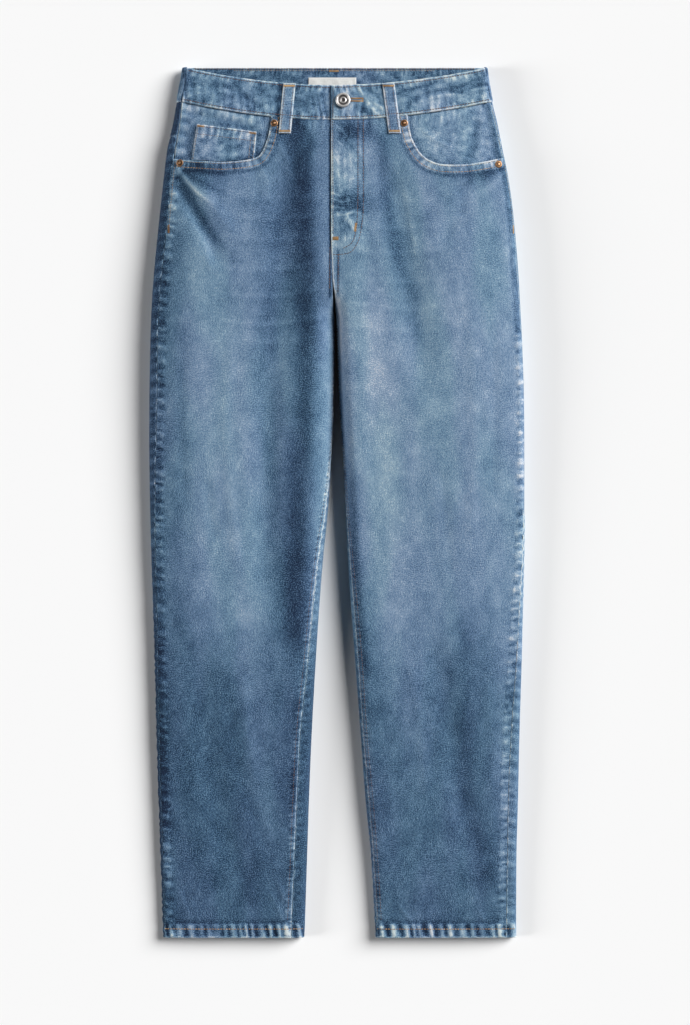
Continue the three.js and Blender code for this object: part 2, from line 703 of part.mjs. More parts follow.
for (const [side, half] of Object.entries(HALVES)) {
  const mouth = side === 'right' ? MOUTH_RIGHT : MOUTH_LEFT;
  add(`front_${side}`, frontLeg(half, mouth), DENIM);
  add(`back_${side}`, backLeg(half), DENIM);
  add(`yoke_${side}`, yoke(half), DENIM);
  add(`pocket_facing_${side}`, pocketFacing(half, FACING[side]), DENIM);
  add(`hem_${side}`, hem(half), INSIDE_DENIM);
  add(`back_pocket_${side}`, backPocket(CENTRE_X - half.inward * BACK_POCKET.inset), DENIM);
}
add('coin_pocket', coinPocket(), DENIM);

add('waistband_right', rightBand(), DENIM);
add('waistband_left', leftBand(), DENIM);
add('waistband_back', backBand(), DENIM);

add('zip', flyStrip(ZIP, -(WALL + LAYER_GAP), ZIP.thickness), TWILL_TAPE);
add('fly_shield', flyStrip(SHIELD, -(WALL + LAYER_GAP + ZIP.thickness + GAP), WALL), INSIDE_DENIM);

for (const { name, half, top, foot } of FRONT_LOOPS) {
  add(name, frontLoop(HALVES[half], top, foot), DENIM);
}
for (const { name, x } of BACK_LOOPS) {
  add(name, plate(rectangle(x, LOOP_WIDTH, BACK_LOOP.low, BACK_LOOP.high), TRIM_WALL), DENIM);
}

const label = add('label',
  plate(rectangle(CENTRE_X, LABEL.width, LABEL.low, LABEL.high), LABEL.thickness), COTTON_LABEL);
label.position.z = UNDER_LIFT + BAND_WALL + GAP;

const button = add('button', turned(BUTTON_PROFILE, BUTTON.radius, BUTTON.height, BUTTON.sides), SILVER);
seat(button, HALVES.left, BUTTON.x, BUTTON.y, BAND_RAISE + GAP);
for (const { name, half, at } of RIVETS) {
  const rivet = add(name, turned(RIVET_PROFILE, RIVET.radius, RIVET.height, RIVET.sides), COPPER);
  seat(rivet, HALVES[half], ...at, GAP);
}

export default jeans;
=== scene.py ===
"""Mom jeans laid flat with the front side up: washed denim, sewing, metal and a blank label.

Sizes are millimetres in the part's own frame, +Z up and the wearer's right at -X, until a mesh is made.
"""

import logging
import math
from collections.abc import Callable, Sequence
from dataclasses import dataclass, field
from enum import Enum
from itertools import pairwise

import bpy
import numpy as np
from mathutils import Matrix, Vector


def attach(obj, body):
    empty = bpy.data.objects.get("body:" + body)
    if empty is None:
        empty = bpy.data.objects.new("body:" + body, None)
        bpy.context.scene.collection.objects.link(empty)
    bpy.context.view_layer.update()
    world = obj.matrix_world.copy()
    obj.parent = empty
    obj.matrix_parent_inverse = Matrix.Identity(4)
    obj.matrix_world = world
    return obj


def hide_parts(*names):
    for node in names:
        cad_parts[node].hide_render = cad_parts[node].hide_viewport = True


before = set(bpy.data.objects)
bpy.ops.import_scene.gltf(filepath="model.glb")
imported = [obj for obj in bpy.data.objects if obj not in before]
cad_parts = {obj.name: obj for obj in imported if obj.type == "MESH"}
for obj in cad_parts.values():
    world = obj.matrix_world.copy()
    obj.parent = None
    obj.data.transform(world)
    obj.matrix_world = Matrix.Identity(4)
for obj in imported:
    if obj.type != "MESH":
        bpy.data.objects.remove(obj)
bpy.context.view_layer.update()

logging.basicConfig(level=logging.INFO, format="%(message)s")
log = logging.getLogger("jeans")

Array = np.ndarray
Piece = bpy.types.Object
Material = bpy.types.Material
Plan = tuple[float, float]
Colour = tuple[float, float, float]

MM = 0.001

# Cloth and seams
WALL = 1.2
GAP = 0.3
LAYER_GAP = 0.5
BAND_WALL = 2.6
BAND_RAISE = 0.8
TRIM_WALL = 1.5
UNDER_LIFT = TRIM_WALL + GAP
STITCH_ROOM = 0.25

# Places along the length
HEM = -500.0
HEM_DEPTH = 16.0
LIFT_FROM, LIFT_TO = 185.0, 222.0
CROTCH_LOW, CROTCH_HIGH = 205.0, 247.0
WAIST_SEAM = 460.0
WAIST_TOP = 500.0
CENTRE_X = -6.0

# Front waist edge, which dips below the back one
FRONT_DIP = 21.5
DIP_POWER = 1.9
DIP_FROM = 375.0

# Side folds
FOLD_RADIUS = 7.0
FOLD_FADE = 22.0

# Fly
FLY_BOTTOM = 292.0
FLY_LIFT = 1.5
FLY_SLOPE = (34.0, 15.0)
FLY_END = (FLY_BOTTOM - 12, FLY_BOTTOM + 8)
FLY_TOP = WAIST_SEAM - 2
UNDERLAP = 30.0
UNDERLAP_STEP = (-24.0, -9.0)

# Pocket mouths, from above the waist seam down and out past the side seam
MOUTH_RIGHT = ((-76, 480), (-76, 446), (-77, 432), (-80, 417), (-86.5, 401), (-96, 393.4),
               (-127, 389.4), (-157, 390.6), (-176, 392.2), (-200, 394.5), (-240, 394.5))
MOUTH_LEFT = ((80, 480), (80, 446), (81, 437), (85.3, 417), (96, 398.4), (111, 388.8),
              (126, 386.4), (148, 387), (170, 390.6), (200, 396.5), (240, 396.5))
COIN_CORNERS = ((-161, 433.2), (-92.4, 424.2), (-95.9, 388), (-168, 388))
COIN_CLEAR = 0.6
YOKE_SIDE, YOKE_CENTRE, YOKE_LEVEL = 420.0, 384.0, 0.05
POCKET_APART = 88.0

# Distance that stands for no edge near by
FAR = 99.0


class Side(Enum):
    """Side of the jeans that stitches or a loop are on."""

    FRONT = 1
    BACK = -1


class Thread(Enum):
    """Topstitch thread."""

    TAN = "tan"
    BROWN = "brown"
    ORANGE = "orange"


@dataclass(frozen=True)
class Section:
    """Edges and seams of one half of the jeans at one height."""

    y: float
    outer: float
    outseam: float
    inner: float
    inseam: float


RIGHT_SECTIONS = tuple(Section(*row) for row in (
    (-500, -200.5, -197.6, -37.9, -53.6), (-410, -203.4, -200.3, -35.0, -49.4),
    (-341, -205.9, -202.4, -32.7, -46.5), (-272, -208.0, -204.4, -29.9, -43.0),
    (-181, -210.2, -206.0, -24.9, -33.9), (-112, -212.3, -207.4, -20.3, -27.6),
    (-66, -213.9, -208.6, -16.6, -22.2), (3, -215.6, -209.0, -9.8, -12.4),
    (72, -216.4, -207.8, -6.3, -6.3), (118, -216.2, -206.9, -4.6, -4.6),
    (187, -215.0, -206.0, -3.6, -3.6), (232, -213.2, -204.0, -5.0, -5.0),
    (260, -211.2, -201.4, -6.0, -6.0), (324, -205.0, -194.6, -7.6, -7.6),
    (370, -200.0, -190.6, -7.6, -7.6), (405, -195.7, -186.2, -7.6, -7.6),
    (439, -188.3, -180.8, -7.6, -7.6), (460, -185.0, -178.5, -7.6, -7.6),
    (500, -178.5, -172.5, -7.6, -7.6)))

LEFT_SECTIONS = tuple(Section(*row) for row in (
    (-500, 205.4, 193.5, 43.6, 46.0), (-410, 205.8, 194.6, 38.8, 41.2),
    (-341, 207.6, 195.7, 32.1, 35.6), (-272, 209.1, 198.6, 27.0, 29.8),
    (-181, 211.8, 204.9, 20.1, 23.6), (-112, 213.5, 209.0, 14.9, 18.2),
    (-66, 214.6, 211.9, 12.1, 14.6), (3, 215.4, 213.4, 8.6, 9.6),
    (72, 215.3, 213.6, 5.2, 5.2), (118, 214.9, 213.2, 2.3, 2.3),
    (187, 212.6, 211.0, -0.5, -0.5), (232, 210.2, 208.6, -2.6, -2.6),
    (260, 208.6, 206.6, -6.0, -6.0), (324, 203.4, 202.0, -7.6, -7.6),
    (370, 197.4, 196.0, -7.6, -7.6), (405, 190.4, 188.4, -7.6, -7.6),
    (439, 183.6, 181.4, -7.6, -7.6), (460, 178.4, 176.2, -7.6, -7.6),
    (500, 172.4, 169.4, -7.6, -7.6)))


@dataclass(frozen=True)
class Swell:
    """Widths over which the cloth swells up from a half's outer and inner edges."""

    outer: float
    inner: float


# Shares of a fold's line at which it has grown in full and at which it starts to fade
WHOLE = (0.12, 0.88)
LONG_FADE = (0.22, 0.7)


@dataclass(frozen=True)
class Fold:
    """Soft ridge along a line, or a trough where the rise is below 0, and how much paler it is worn; on
    some lines that value darkens the cloth with painted shade or painted shadow.
    """

    rise: float
    spread: float
    line: tuple[Plan, ...]
    wear_and_shade: float = 0.0
    ends: tuple[float, float] = WHOLE


def folds(*rows: tuple, ends: tuple[float, float] = WHOLE) -> tuple[Fold, ...]:
    """Folds from rows that hold a rise, a spread, the wear and painted shade, and then the points of the
    line.
    """
    return tuple(Fold(rise, spread, tuple(line), wear_and_shade, ends) for rise, spread, wear_and_shade, *line in rows)


# Main folds of the front
MAIN_FOLDS = folds(
    (-5.0, 17, 0, (-58, 415), (-61, 345), (-64, 235), (-78, 118), (-82, -66), (-74, -150)),
    (2.4, 12, 0, (-24, 395), (-24, 290), (-30, 118), (-34, -66), (-46, -180)),
    (-3.0, 8, 0, (-188, 376), (-173, 347), (-159, 318), (-144, 291), (-122, 260)),
    (1.9, 8, 0, (-172, 382), (-150, 351), (-132, 324), (-114, 296)),
    (-2.6, 15, 0, (-160, -150), (-152, -260), (-132, -380), (-104, -452)),
    (-4.4, 17, 0, (52, 405), (66, 345), (78, 278), (92, 190), (100, 100)),
    (1.6, 14, 0, (18, 400), (14, 300), (20, 200), (24, 60), (34, -80)),
    (-3.0, 15, 0, (104, -130), (126, -240), (142, -330), (160, -440)),
    (-1.6, 9, 0, (176, 376), (150, 352), (128, 318), (116, 284)), ends=LONG_FADE)

# Fine creases of the front, with their wear; the trough from the right pocket's outer rivet also carries
# painted shade
FINE_FOLDS = folds(
    (0.7, 4.0, 0.05, (-172, 330), (-160, 312), (-150, 290), (-146, 262)),
    (0.6, 3.4, 0.12, (-71, 422), (-66, 408), (-58, 394), (-54, 370)),
    (-0.8, 4.2, -0.08, (-51, 438), (-38, 424), (-33, 410), (-36, 372)),
    (0.5, 3.0, 0.08, (-88, 388), (-80, 366), (-77, 340)),
    (-0.6, 3.4, -0.05, (-98, 384), (-92, 362), (-90, 344)),
    (0.6, 2.4, 0.14, (77, 366), (80, 346), (84, 322), (88, 298), (90, 276)),
    (-0.9, 4.6, -0.1, (180, 380), (166, 371), (150, 366), (134, 352)),
    (-0.7, 5.0, -0.08, (146, 366), (143, 346), (140, 326)),
    (0.6, 3.0, 0.24, (9, 328), (15, 319), (21, 309)),
    (0.5, 1.8, 0.2, (-4, 331), (10, 330), (26, 332)),
    (-0.7, 6.0, -0.03, (118, 40), (124, -20), (130, -90)),
    (0.6, 7.0, 0.02, (150, 250), (156, 150), (158, 40), (150, -60)),
    (-0.6, 6.0, -0.02, (176, 210), (180, 100), (178, 0)),
    (0.7, 6.0, 0.02, (-120, 200), (-128, 100), (-122, 0), (-112, -90)),
    (-0.7, 5.0, -0.03, (-176, 190), (-180, 90), (-174, -10)),
    (-0.7, 5.0, -0.04, (-150, 30), (-146, -10), (-140, -46)),
    (0.8, 6.0, 0.04, (-108, -190), (-104, -260), (-92, -330)),
    (-0.8, 7.0, -0.04, (-128, -210), (-118, -290), (-96, -360), (-78, -410)),
    (0.7, 6.0, 0.03, (84, -180), (96, -260), (104, -350)),
    (0.7, 6.0, 0.03, (172, -200), (178, -290), (176, -380)),
    (0.7, 2.6, 0.1, (-70, -432), (-64, -446), (-60, -458))) + folds(
    (0.9, 2.6, 0.42, (-184, 386), (-171, 366), (-159, 353), (-147, 344), (-138, 338)),
    ends=(0.02, 0.4)) + folds(
    # Trough from the right pocket's outer rivet, with painted shade along its wall
    (-1.5, 6.5, -0.34, (-186, 378), (-172, 352), (-158, 328), (-145, 306), (-127, 286),
     (-104, 262)), ends=(0.05, 0.5)) + folds(
    (0.9, 4.0, 0.16, (188, 378), (180, 366), (168, 354), (150, 344)), ends=(0.02, 0.5)) + folds(
    (0.8, 2.4, 0.08, (-182, -444), (-176, -462), (-166, -480)),
    (0.7, 2.2, 0.06, (-170, -456), (-164, -468), (-158, -482)),
    (0.8, 2.6, 0.08, (-78, -446), (-70, -462), (-62, -480)),
    (0.6, 2.4, 0.08, (70, -460), (76, -470), (84, -480)),
    (0.6, 2.2, 0.06, (160, -462), (164, -472), (170, -482)), ends=(0.1, 0.95))

# Creases of the waistband and of what shows in the pocket mouths, with painted shadows beside the front
# belt loops and darkening along the coin pocket's edges that is partly painted shade
BAND_FOLDS = folds(
    (-0.7, 3.0, -0.14, (-132, 478), (-112, 470), (-98, 460), (-88, 450)),
    (-0.4, 4.0, -0.06, (-170, 482), (-150, 478), (-128, 470)),
    (-0.9, 3.0, -0.34, (84, 461), (104, 470), (134, 475), (156, 482), (176, 490)),
    (-0.6, 2.2, -0.26, (66, 466), (80, 473), (100, 477), (118, 484)),
    (-0.5, 2.2, -0.26, (120, 470), (142, 470), (158, 477), (174, 480)),
    (0.5, 2.2, 0.16, (90, 457), (112, 464), (140, 469), (168, 476)),
    (0.4, 2.4, 0.14, (80, 480), (104, 486), (136, 487), (166, 494)),
    (-0.4, 3.0, -0.12, (30, 474), (42, 468), (52, 458)),
    (-0.5, 2.6, -0.1, (-46, 452), (-36, 462), (-20, 466)),
    (0, 5.0, -0.18, (16, 452), (36, 446))) + folds(
    (0.6, 1.8, 0.26, (22, 478), (33, 461), (46, 442)),
    (0.5, 1.6, 0.22, (37, 462), (46, 455), (58, 447)), ends=(0.05, 0.9)) + folds(
    # Painted shadows beside the two front belt loops on the waistband
    (0, 2.4, -0.56, (52.4, 488), (57.8, 440)),
    (0, 2.4, -0.44, (-64.6, 488), (-68.8, 440)), ends=(0.02, 0.98))
FACING_FOLDS = folds(
    (-0.8, 3.4, -0.1, (-172, 446), (-148, 441), (-118, 435), (-88, 425)),
    (0.6, 3.0, 0.06, (-166, 452), (-140, 448), (-112, 441), (-84, 436)),
    (-0.8, 3.0, -0.12, (-170, 424), (-172, 408), (-174, 394)),
    (-1.0, 5.0, -0.24, (162, 440), (158, 427), (154, 403), (150, 392)),
    (0.6, 3.0, 0.06, (96, 428), (112, 414), (132, 406)),
    (-0.5, 3.4, -0.05, (172, 436), (170, 420), (168, 402)),
    # The next three lines darken the facing along the coin pocket's edges: partly painted shade, partly
    # unworn indigo
    (0, 2.6, -0.24, (-164, 434), (-171, 392)),
    (0, 2.6, -0.24, (-89.5, 424), (-93, 392)),
    (0, 2.4, -0.16, (-162, 437), (-92, 428)),
    (0, 4.0, 0.12, (-140, 449), (-110, 440), (-88, 430)))

# Shallow creases of the underside, mirrored from leg to leg
UNDER_FOLDS = folds(
    (1.0, 8.0, 0, (40, 190), (70, 176), (110, 170), (150, 176)),
    (0.8, 6.0, 0, (36, 160), (64, 142), (100, 132)),
    (0.7, 6.0, 0, (60, -60), (100, -72), (150, -66)),
    (0.8, 7.0, 0, (50, -100), (90, -116), (140, -112), (170, -98)),
    (0.6, 5.0, 0, (70, -140), (110, -150), (146, -144)),
    (0.9, 9.0, 0, (90, 120), (96, 20), (104, -60)),
    (0.7, 7.0, 0, (120, -170), (128, -280), (122, -380)),
    (0.6, 6.0, 0, (70, -220), (80, -320), (96, -420)),
    (0.6, 7.0, 0, (60, 60), (54, -20), (66, -160)))

# Worn streaks fanning out from the crotch: height at the inner end, at the outer end, and strength
WHISKERS_RIGHT = ((376, 384, 0.03), (352, 362, 0.04), (331, 336, 0.05), (308, 309, 0.05),
                  (276, 273, 0.06), (246, 242, 0.07), (214, 211, 0.08), (192, 190, 0.04))
WHISKERS_LEFT = ((372, 382, 0.02), (346, 354, 0.03), (320, 324, 0.04), (292, 294, 0.04),
                 (262, 260, 0.05), (232, 228, 0.05), (206, 202, 0.04))


def mix(start: Array | float, end: Array | float, share: Array | float) -> Array | float:
    """Value at a share of the way from start to end."""
    return start + (end - start) * share


def smooth(start: float, end: float, value: Array | float) -> Array:
    """Smooth step of a value from 0 at start to 1 at end, which may be below start."""
    share = np.clip((np.asarray(value, float) - start) / (end - start), 0, 1)
    return share * share * (3 - 2 * share)


def rounded(share: Array) -> Array:
    """Quarter-circle rise of a fold from its edge."""
    return np.sqrt(1 - (1 - np.clip(share, 0, 1)) ** 2)


def swell(share: Array) -> Array:
    """Slower rise of the cloth's crown."""
    return 1 - (1 - np.clip(share, 0, 1)) ** 2


def steps(*stops: tuple[float, float], end: float) -> Array:
    """Places from stop to stop.

    Args:
        stops: a place and the spacing that holds from there on.
        end: the last place.

    Returns:
        The places in order, with every stop among them.
    """
    ends = [stop[0] for stop in stops[1:]] + [end]
    runs = [np.linspace(start, stop, max(1, round((stop - start) / spacing)), endpoint=False)
            for (start, spacing), stop in zip(stops, ends)]
    return np.concatenate([*runs, [end]])


class Curve:
    """Smooth curve through rows of values that never overshoots them."""

    def __init__(self, places: Sequence[float], values: Sequence[float]) -> None:
        """Works out the tangent at each place."""
        self.places = np.array(places, float)
        self.values = np.array(values, float)
        slopes = np.diff(self.values) / np.diff(self.places)
        before = np.concatenate([slopes[:1], slopes])
        after = np.concatenate([slopes, slopes[-1:]])
        agree = before * after > 0
        self.tangents = np.where(agree, 2 * before * after / np.where(agree, before + after, 1), 0)

    def __call__(self, place: Array | float) -> Array:
        """Value of the curve at one place or many."""
        place = np.asarray(place, float)
        i = np.clip(np.searchsorted(self.places, place, "right") - 1, 0, len(self.places) - 2)
        span = self.places[i + 1] - self.places[i]
        t = np.clip((place - self.places[i]) / span, 0, 1)
        bend = t * t * (3 - 2 * t)
        tangents = (1 - t) * self.tangents[i] - t * self.tangents[i + 1]
        return mix(self.values[i], self.values[i + 1], bend) + span * t * (1 - t) * tangents


HEIGHTS = (-500, -410, -272, -112, 3, 118, 187, 278, 370, 439, 460, 500)
TOP_AT = Curve(HEIGHTS, (14, 18, 22, 27, 31, 35, 37, 38, 34, 28, 24.5, 18.5))
EDGE_AT = Curve(HEIGHTS, (5.5, 6.5, 7.5, 8.5, 9.5, 10.5, 11, 11, 10.5, 10, 9.5, 8.5))


def along_line(line: Sequence[Plan], x: Array, y: Array) -> tuple[Array, Array]:
    """Nearest distance from each point to a line.

    Args:
        line: the line's points in plan.
        x: the points' places across.
        y: their places along the length.

    Returns:
        The distances, and how far along the line each nearest spot is, from 0 to 1.
    """
    nearest = np.full(np.shape(x), np.inf)
    share = np.zeros(np.shape(x))
    for i, ((ax, ay), (bx, by)) in enumerate(pairwise(line)):
        length_squared = (bx - ax) ** 2 + (by - ay) ** 2
        t = np.clip(((x - ax) * (bx - ax) + (y - ay) * (by - ay)) / length_squared, 0, 1)
        distance = np.hypot(x - mix(ax, bx, t), y - mix(ay, by, t))
        share = np.where(distance < nearest, (i + t) / (len(line) - 1), share)
        nearest = np.minimum(nearest, distance)
    return nearest, share


def folded(folds: Sequence[Fold], x: Array, y: Array) -> tuple[Array, Array]:
    """Height, and wear with painted shade, that folds add at each point."""
    height, wear_and_shade = np.zeros(np.shape(x)), np.zeros(np.shape(x))
    for fold in folds:
        distance, share = along_line(fold.line, x, y)
        fade = smooth(0, fold.ends[0], share) * smooth(1, fold.ends[1], share)
        bump = fade * np.exp(-((distance / fold.spread) ** 2))
        height += fold.rise * bump
        wear_and_shade += fold.wear_and_shade * bump
    return height, wear_and_shade


class Path:
    """Line in plan that cloth is cut to or stitches follow."""

    def __init__(self, points: Array | Sequence[Plan]) -> None:
        """Keeps the points and their lengths along the line."""
        self.points = np.array(points, float)
        legs = np.linalg.norm(np.diff(self.points, axis=0), axis=1)
        self.lengths = np.concatenate([[0], np.cumsum(legs)])

    @classmethod
    def spline(cls, points: Sequence[Plan], samples: int = 10) -> "Path":
        """Smooth path through points, with samples steps between two of them."""
        p = np.array([points[0], *points, points[-1]], float)
        t = np.linspace(0, 1, samples, endpoint=False)[:, None]
        runs = []
        for a, b, c, d in zip(p, p[1:], p[2:], p[3:]):
            lead, trail = (c - a) / 2, (d - b) / 2
            runs.append((2 * b - 2 * c + lead + trail) * t ** 3
                        + (3 * c - 3 * b - 2 * lead - trail) * t ** 2 + lead * t + b)
        return cls(np.concatenate([*runs, p[-1:]]))

    def nearest(self, x: Array, y: Array) -> tuple[Array, Array]:
        """Distance from each point, above 0 on the path's left, and the length along it."""
        best = np.full(np.shape(x), np.inf)
        side, along = np.ones(np.shape(x)), np.zeros(np.shape(x))
        for (ax, ay), (bx, by), start in zip(self.points, self.points[1:], self.lengths):
            dx, dy = bx - ax, by - ay
            t = np.clip(((x - ax) * dx + (y - ay) * dy) / (dx * dx + dy * dy), 0, 1)
            distance = np.hypot(x - ax - dx * t, y - ay - dy * t)
            closer = distance < best
            side = np.where(closer, np.sign(dx * (y - ay) - dy * (x - ax)), side)
            along = np.where(closer, start + t * math.hypot(dx, dy), along)
            best = np.minimum(best, distance)
        return best * side, along

    def at(self, length: Array) -> Array:
        """Points at lengths along the path."""
        return np.stack([np.interp(length, self.lengths, self.points[:, k]) for k in (0, 1)], axis=-1)

    def shifted(self, offset: float) -> "Path":
        """Path beside this one, to its left where the offset is above 0."""
        heading = np.gradient(self.points, axis=0)
        heading /= np.linalg.norm(heading, axis=1, keepdims=True)
        return Path(self.points + offset * np.stack([-heading[:, 1], heading[:, 0]], axis=1))

    def between(self, keep: Callable[[Array, Array], Array]) -> "Path":
        """The part of the path whose points pass a test of their places."""
        fine = self.at(np.arange(0, self.lengths[-1], 1.0))
        return Path(fine[keep(fine[:, 0], fine[:, 1])])


@dataclass(frozen=True)
class Gathers:
    """Uneven puckers that stitching draws up along an edge."""

    reach: float
    pitch: float
    depth: float
    contrast: float
    seed: int
    slant: float = 0.0
    longest: float = 1300.0

    def wave(self, along: Array) -> Array:
        """Ridges and troughs from -1 to 1, uneven in size and spacing."""
        generator = np.random.default_rng(self.seed)
        count = round(self.longest / self.pitch)
        places = np.cumsum(self.pitch * generator.uniform(0.45, 1.6, count)) - self.longest / 2
        heights = generator.uniform(0.25, 1, count) * np.where(np.arange(count) % 2, -1, 1)
        i = np.clip(np.searchsorted(places, along), 1, count - 1)
        share = (along - places[i - 1]) / (places[i] - places[i - 1])
        return mix(heights[i - 1], heights[i], smooth(0, 1, share))

    def at(self, distance: Array, along: Array) -> tuple[Array, Array]:
        """Height and fade at a distance in from the edge and a place along it."""
        strength = self.wave(along + self.slant * distance) * smooth(1.2, 0.7, distance / self.reach)
        return self.depth * strength, self.contrast * strength


class Half:
    """One half of the jeans: a leg and its side of the seat."""

    SAMPLES = 220

    def __init__(self, name: str, sections: Sequence[Section], widths: Swell) -> None:
        """Makes the curves of the half's edges and seams."""
        self.name = name
        self.outer, self.outseam, self.inner, self.inseam = (
            Curve([section.y for section in sections], [getattr(section, edge) for section in sections])
            for edge in ("outer", "outseam", "inner", "inseam"))
        self.inward = 1.0 if sections[0].inner > sections[0].outer else -1.0
        self.widths = widths

    def edges(self, x: Array, y: Array) -> tuple[Array, Array]:
        """Distances in plan from the outer and from the inner edge."""
        return (x - self.outer(y)) * self.inward, (self.inner(y) - x) * self.inward

    def front(self, x: Array, y: Array) -> Array:
        """Height of the front's outer face."""
        outer, inner = self.edges(x, y)
        crotch = smooth(CROTCH_LOW, CROTCH_HIGH, y)

        def rise(shape: Callable[[Array], Array], width: float, inner_width: float) -> Array:
            """Rise from both edges, the inner one only on the legs."""
            return shape(outer / width) * mix(shape(inner / inner_width), 1, crotch)

        edge = EDGE_AT(y)
        height = edge * (1 + rise(rounded, FOLD_RADIUS, FOLD_RADIUS))
        height += (TOP_AT(y) - 2 * edge) * rise(swell, self.widths.outer, self.widths.inner)
        height += folded(MAIN_FOLDS, x, y)[0] * rise(swell, FOLD_FADE, FOLD_FADE)
        return height + self.fly_lift(x, y)

    def fly_lift(self, x: Array, y: Array) -> Array:
        """Extra height where the left front laps over the fly."""
        if self.inward > 0:
            return np.zeros(np.shape(x))
        return FLY_LIFT * smooth(*FLY_SLOPE, x) * smooth(*FLY_END, y)

    def back(self, x: Array, y: Array) -> Array:
        """Height of the back's outer face, raised where pockets and loops lie under it."""
        outer, inner = self.edges(x, y)
        floor = UNDER_LIFT * smooth(LIFT_FROM, LIFT_TO, y)
        flat = rounded(outer / FOLD_RADIUS)
        flat = flat * mix(rounded(inner / FOLD_RADIUS), 1, smooth(CROTCH_LOW, CROTCH_HIGH, y))
        return floor + (EDGE_AT(y) - floor) * (1 - flat)

    def dip(self, x: Array, y: Array) -> Array:
        """How far the front hangs below the straight waist line."""
        side = self.outseam(WAIST_SEAM)
        share = np.clip((x - side) / (CENTRE_X - side), 0, 1)
        return FRONT_DIP * (1 - (1 - share) ** DIP_POWER) * smooth(DIP_FROM, WAIST_SEAM, y)

    def front_point(self, x: Array, y: Array) -> Array:
        """Points on the front's outer face, given their height before the waist dips."""
        x, y = np.broadcast_arrays(np.asarray(x, float), np.asarray(y, float))
        hung = y - self.dip(x, y)
        return np.stack([x, hung, self.front(x, hung)], axis=-1)

    def front_normal(self, x: float, y: float) -> Array:
        """Direction out of the front's face at one point."""
        slope_x = self.front(x + 1, y) - self.front(x - 1, y)
        slope_y = self.front(x, y + 1) - self.front(x, y - 1)
        normal = np.array([-slope_x / 2, -slope_y / 2, 1.0])
        return normal / np.linalg.norm(normal)

    def eased(self, start: Array, end: Array) -> Array:
        """Places across each row, close together at both ends."""
        share = (1 - np.cos(np.pi * np.linspace(0, 1, self.SAMPLES))) / 2
        return mix(start[:, None], end[:, None], share[None, :])

    def front_grid(self, rows: Array, shares: Array) -> tuple[Array, Array]:
        """Spots of the front, row by row from the side seam to the inseam.

        Args:
            rows: heights before the waist dips.
            shares: places across each row, from 0 to 1 along the cloth.

        Returns:
            The spots, and each row's length along the cloth.
        """
        x = self.eased(self.outseam(rows), self.inseam(rows))
        spots, widths = self.measured(self.front_point(x, rows[:, None]), shares)
        return self.front_point(spots[..., 0], rows[:, None]), widths

    def back_grid(self, rows: Array, shares: Array) -> tuple[Array, Array]:
        """Spots of the back, round the side fold, under the half and up to the inseam."""
        outseam, outer, inner = self.outseam(rows), self.outer(rows), self.inner(rows)
        inseam = self.inseam(rows)
        y = np.repeat(rows[:, None], self.SAMPLES, axis=1)
        side, under, rim = (self.eased(*ends)
                            for ends in ((outseam, outer), (outer, inner), (inner, inseam)))
        last = self.back(under, y)
        legs = (np.abs(inseam - inner) > GAP)[:, None]
        lines = [np.stack([side, y, self.front(side, y)], -1), np.stack([under, y, last], -1),
                 np.stack([rim, y, np.where(legs, self.front(rim, y), last[:, -1:])], -1)]
        return self.measured(np.concatenate(lines, axis=1), shares)

    def back_spots(self, heights: Array, shares: Array) -> tuple[Array, Array]:
        """Spots of the back in rows whose height changes across them."""
        rows = np.arange(heights.min() - 2, heights.max() + 4, 2.0)
        dense, widths = self.back_grid(rows, shares)
        spots = np.stack([np.stack([np.interp(heights[:, c], rows, dense[:, c, k]) for k in range(3)], -1)
                          for c in range(len(shares))], axis=1)
        return spots, np.interp(heights.mean(axis=1), rows, widths)

    @staticmethod
    def measured(lines: Array, shares: Array) -> tuple[Array, Array]:
        """Spots at shares of each line's length, half a seam gap in from its ends, and the lengths."""
        legs = np.linalg.norm(np.diff(lines, axis=1), axis=2)
        lengths = np.concatenate([np.zeros((len(lines), 1)), np.cumsum(legs, axis=1)], axis=1)
        widths = lengths[:, -1] - GAP
        spots = [np.stack([np.interp(GAP / 2 + shares * width, length, line[:, k]) for k in range(3)], -1)
                 for line, length, width in zip(lines, lengths, widths)]
        return np.stack(spots), widths


RIGHT = Half("right", RIGHT_SECTIONS, Swell(62, 26))
LEFT = Half("left", LEFT_SECTIONS, Swell(88, 15))


def yoke_seam(share: Array) -> Array:
    """Height of the yoke seam at a share of the way from the side seam to centre back."""
    return mix(YOKE_SIDE, YOKE_CENTRE, smooth(YOKE_LEVEL, 1, share))


class Wire:
    """Socket of a material's nodes that takes part in plain arithmetic."""

    def __init__(self, graph: "Graph", socket: bpy.types.NodeSocket) -> None:
        """Keeps the socket and the graph that it is in."""
        self.graph = graph
        self.socket = socket

    def maths(self, operation: str, first: "Wire | float", second: "Wire | float") -> "Wire":
        """One Math node on two values."""
        return self.graph.node("ShaderNodeMath", {"operation": operation}, {0: first, 1: second})

    def __add__(self, other: "Wire | float") -> "Wire":
        """Sum."""
        return self.maths("ADD", self, other)

    __radd__ = __add__

    def __sub__(self, other: "Wire | float") -> "Wire":
        """Difference."""
        return self.maths("SUBTRACT", self, other)

    def __rsub__(self, other: float) -> "Wire":
        """Difference from a number."""
        return self.maths("SUBTRACT", other, self)

    def __mul__(self, other: "Wire | float") -> "Wire":
        """Product."""
        return self.maths("MULTIPLY", self, other)

    __rmul__ = __mul__


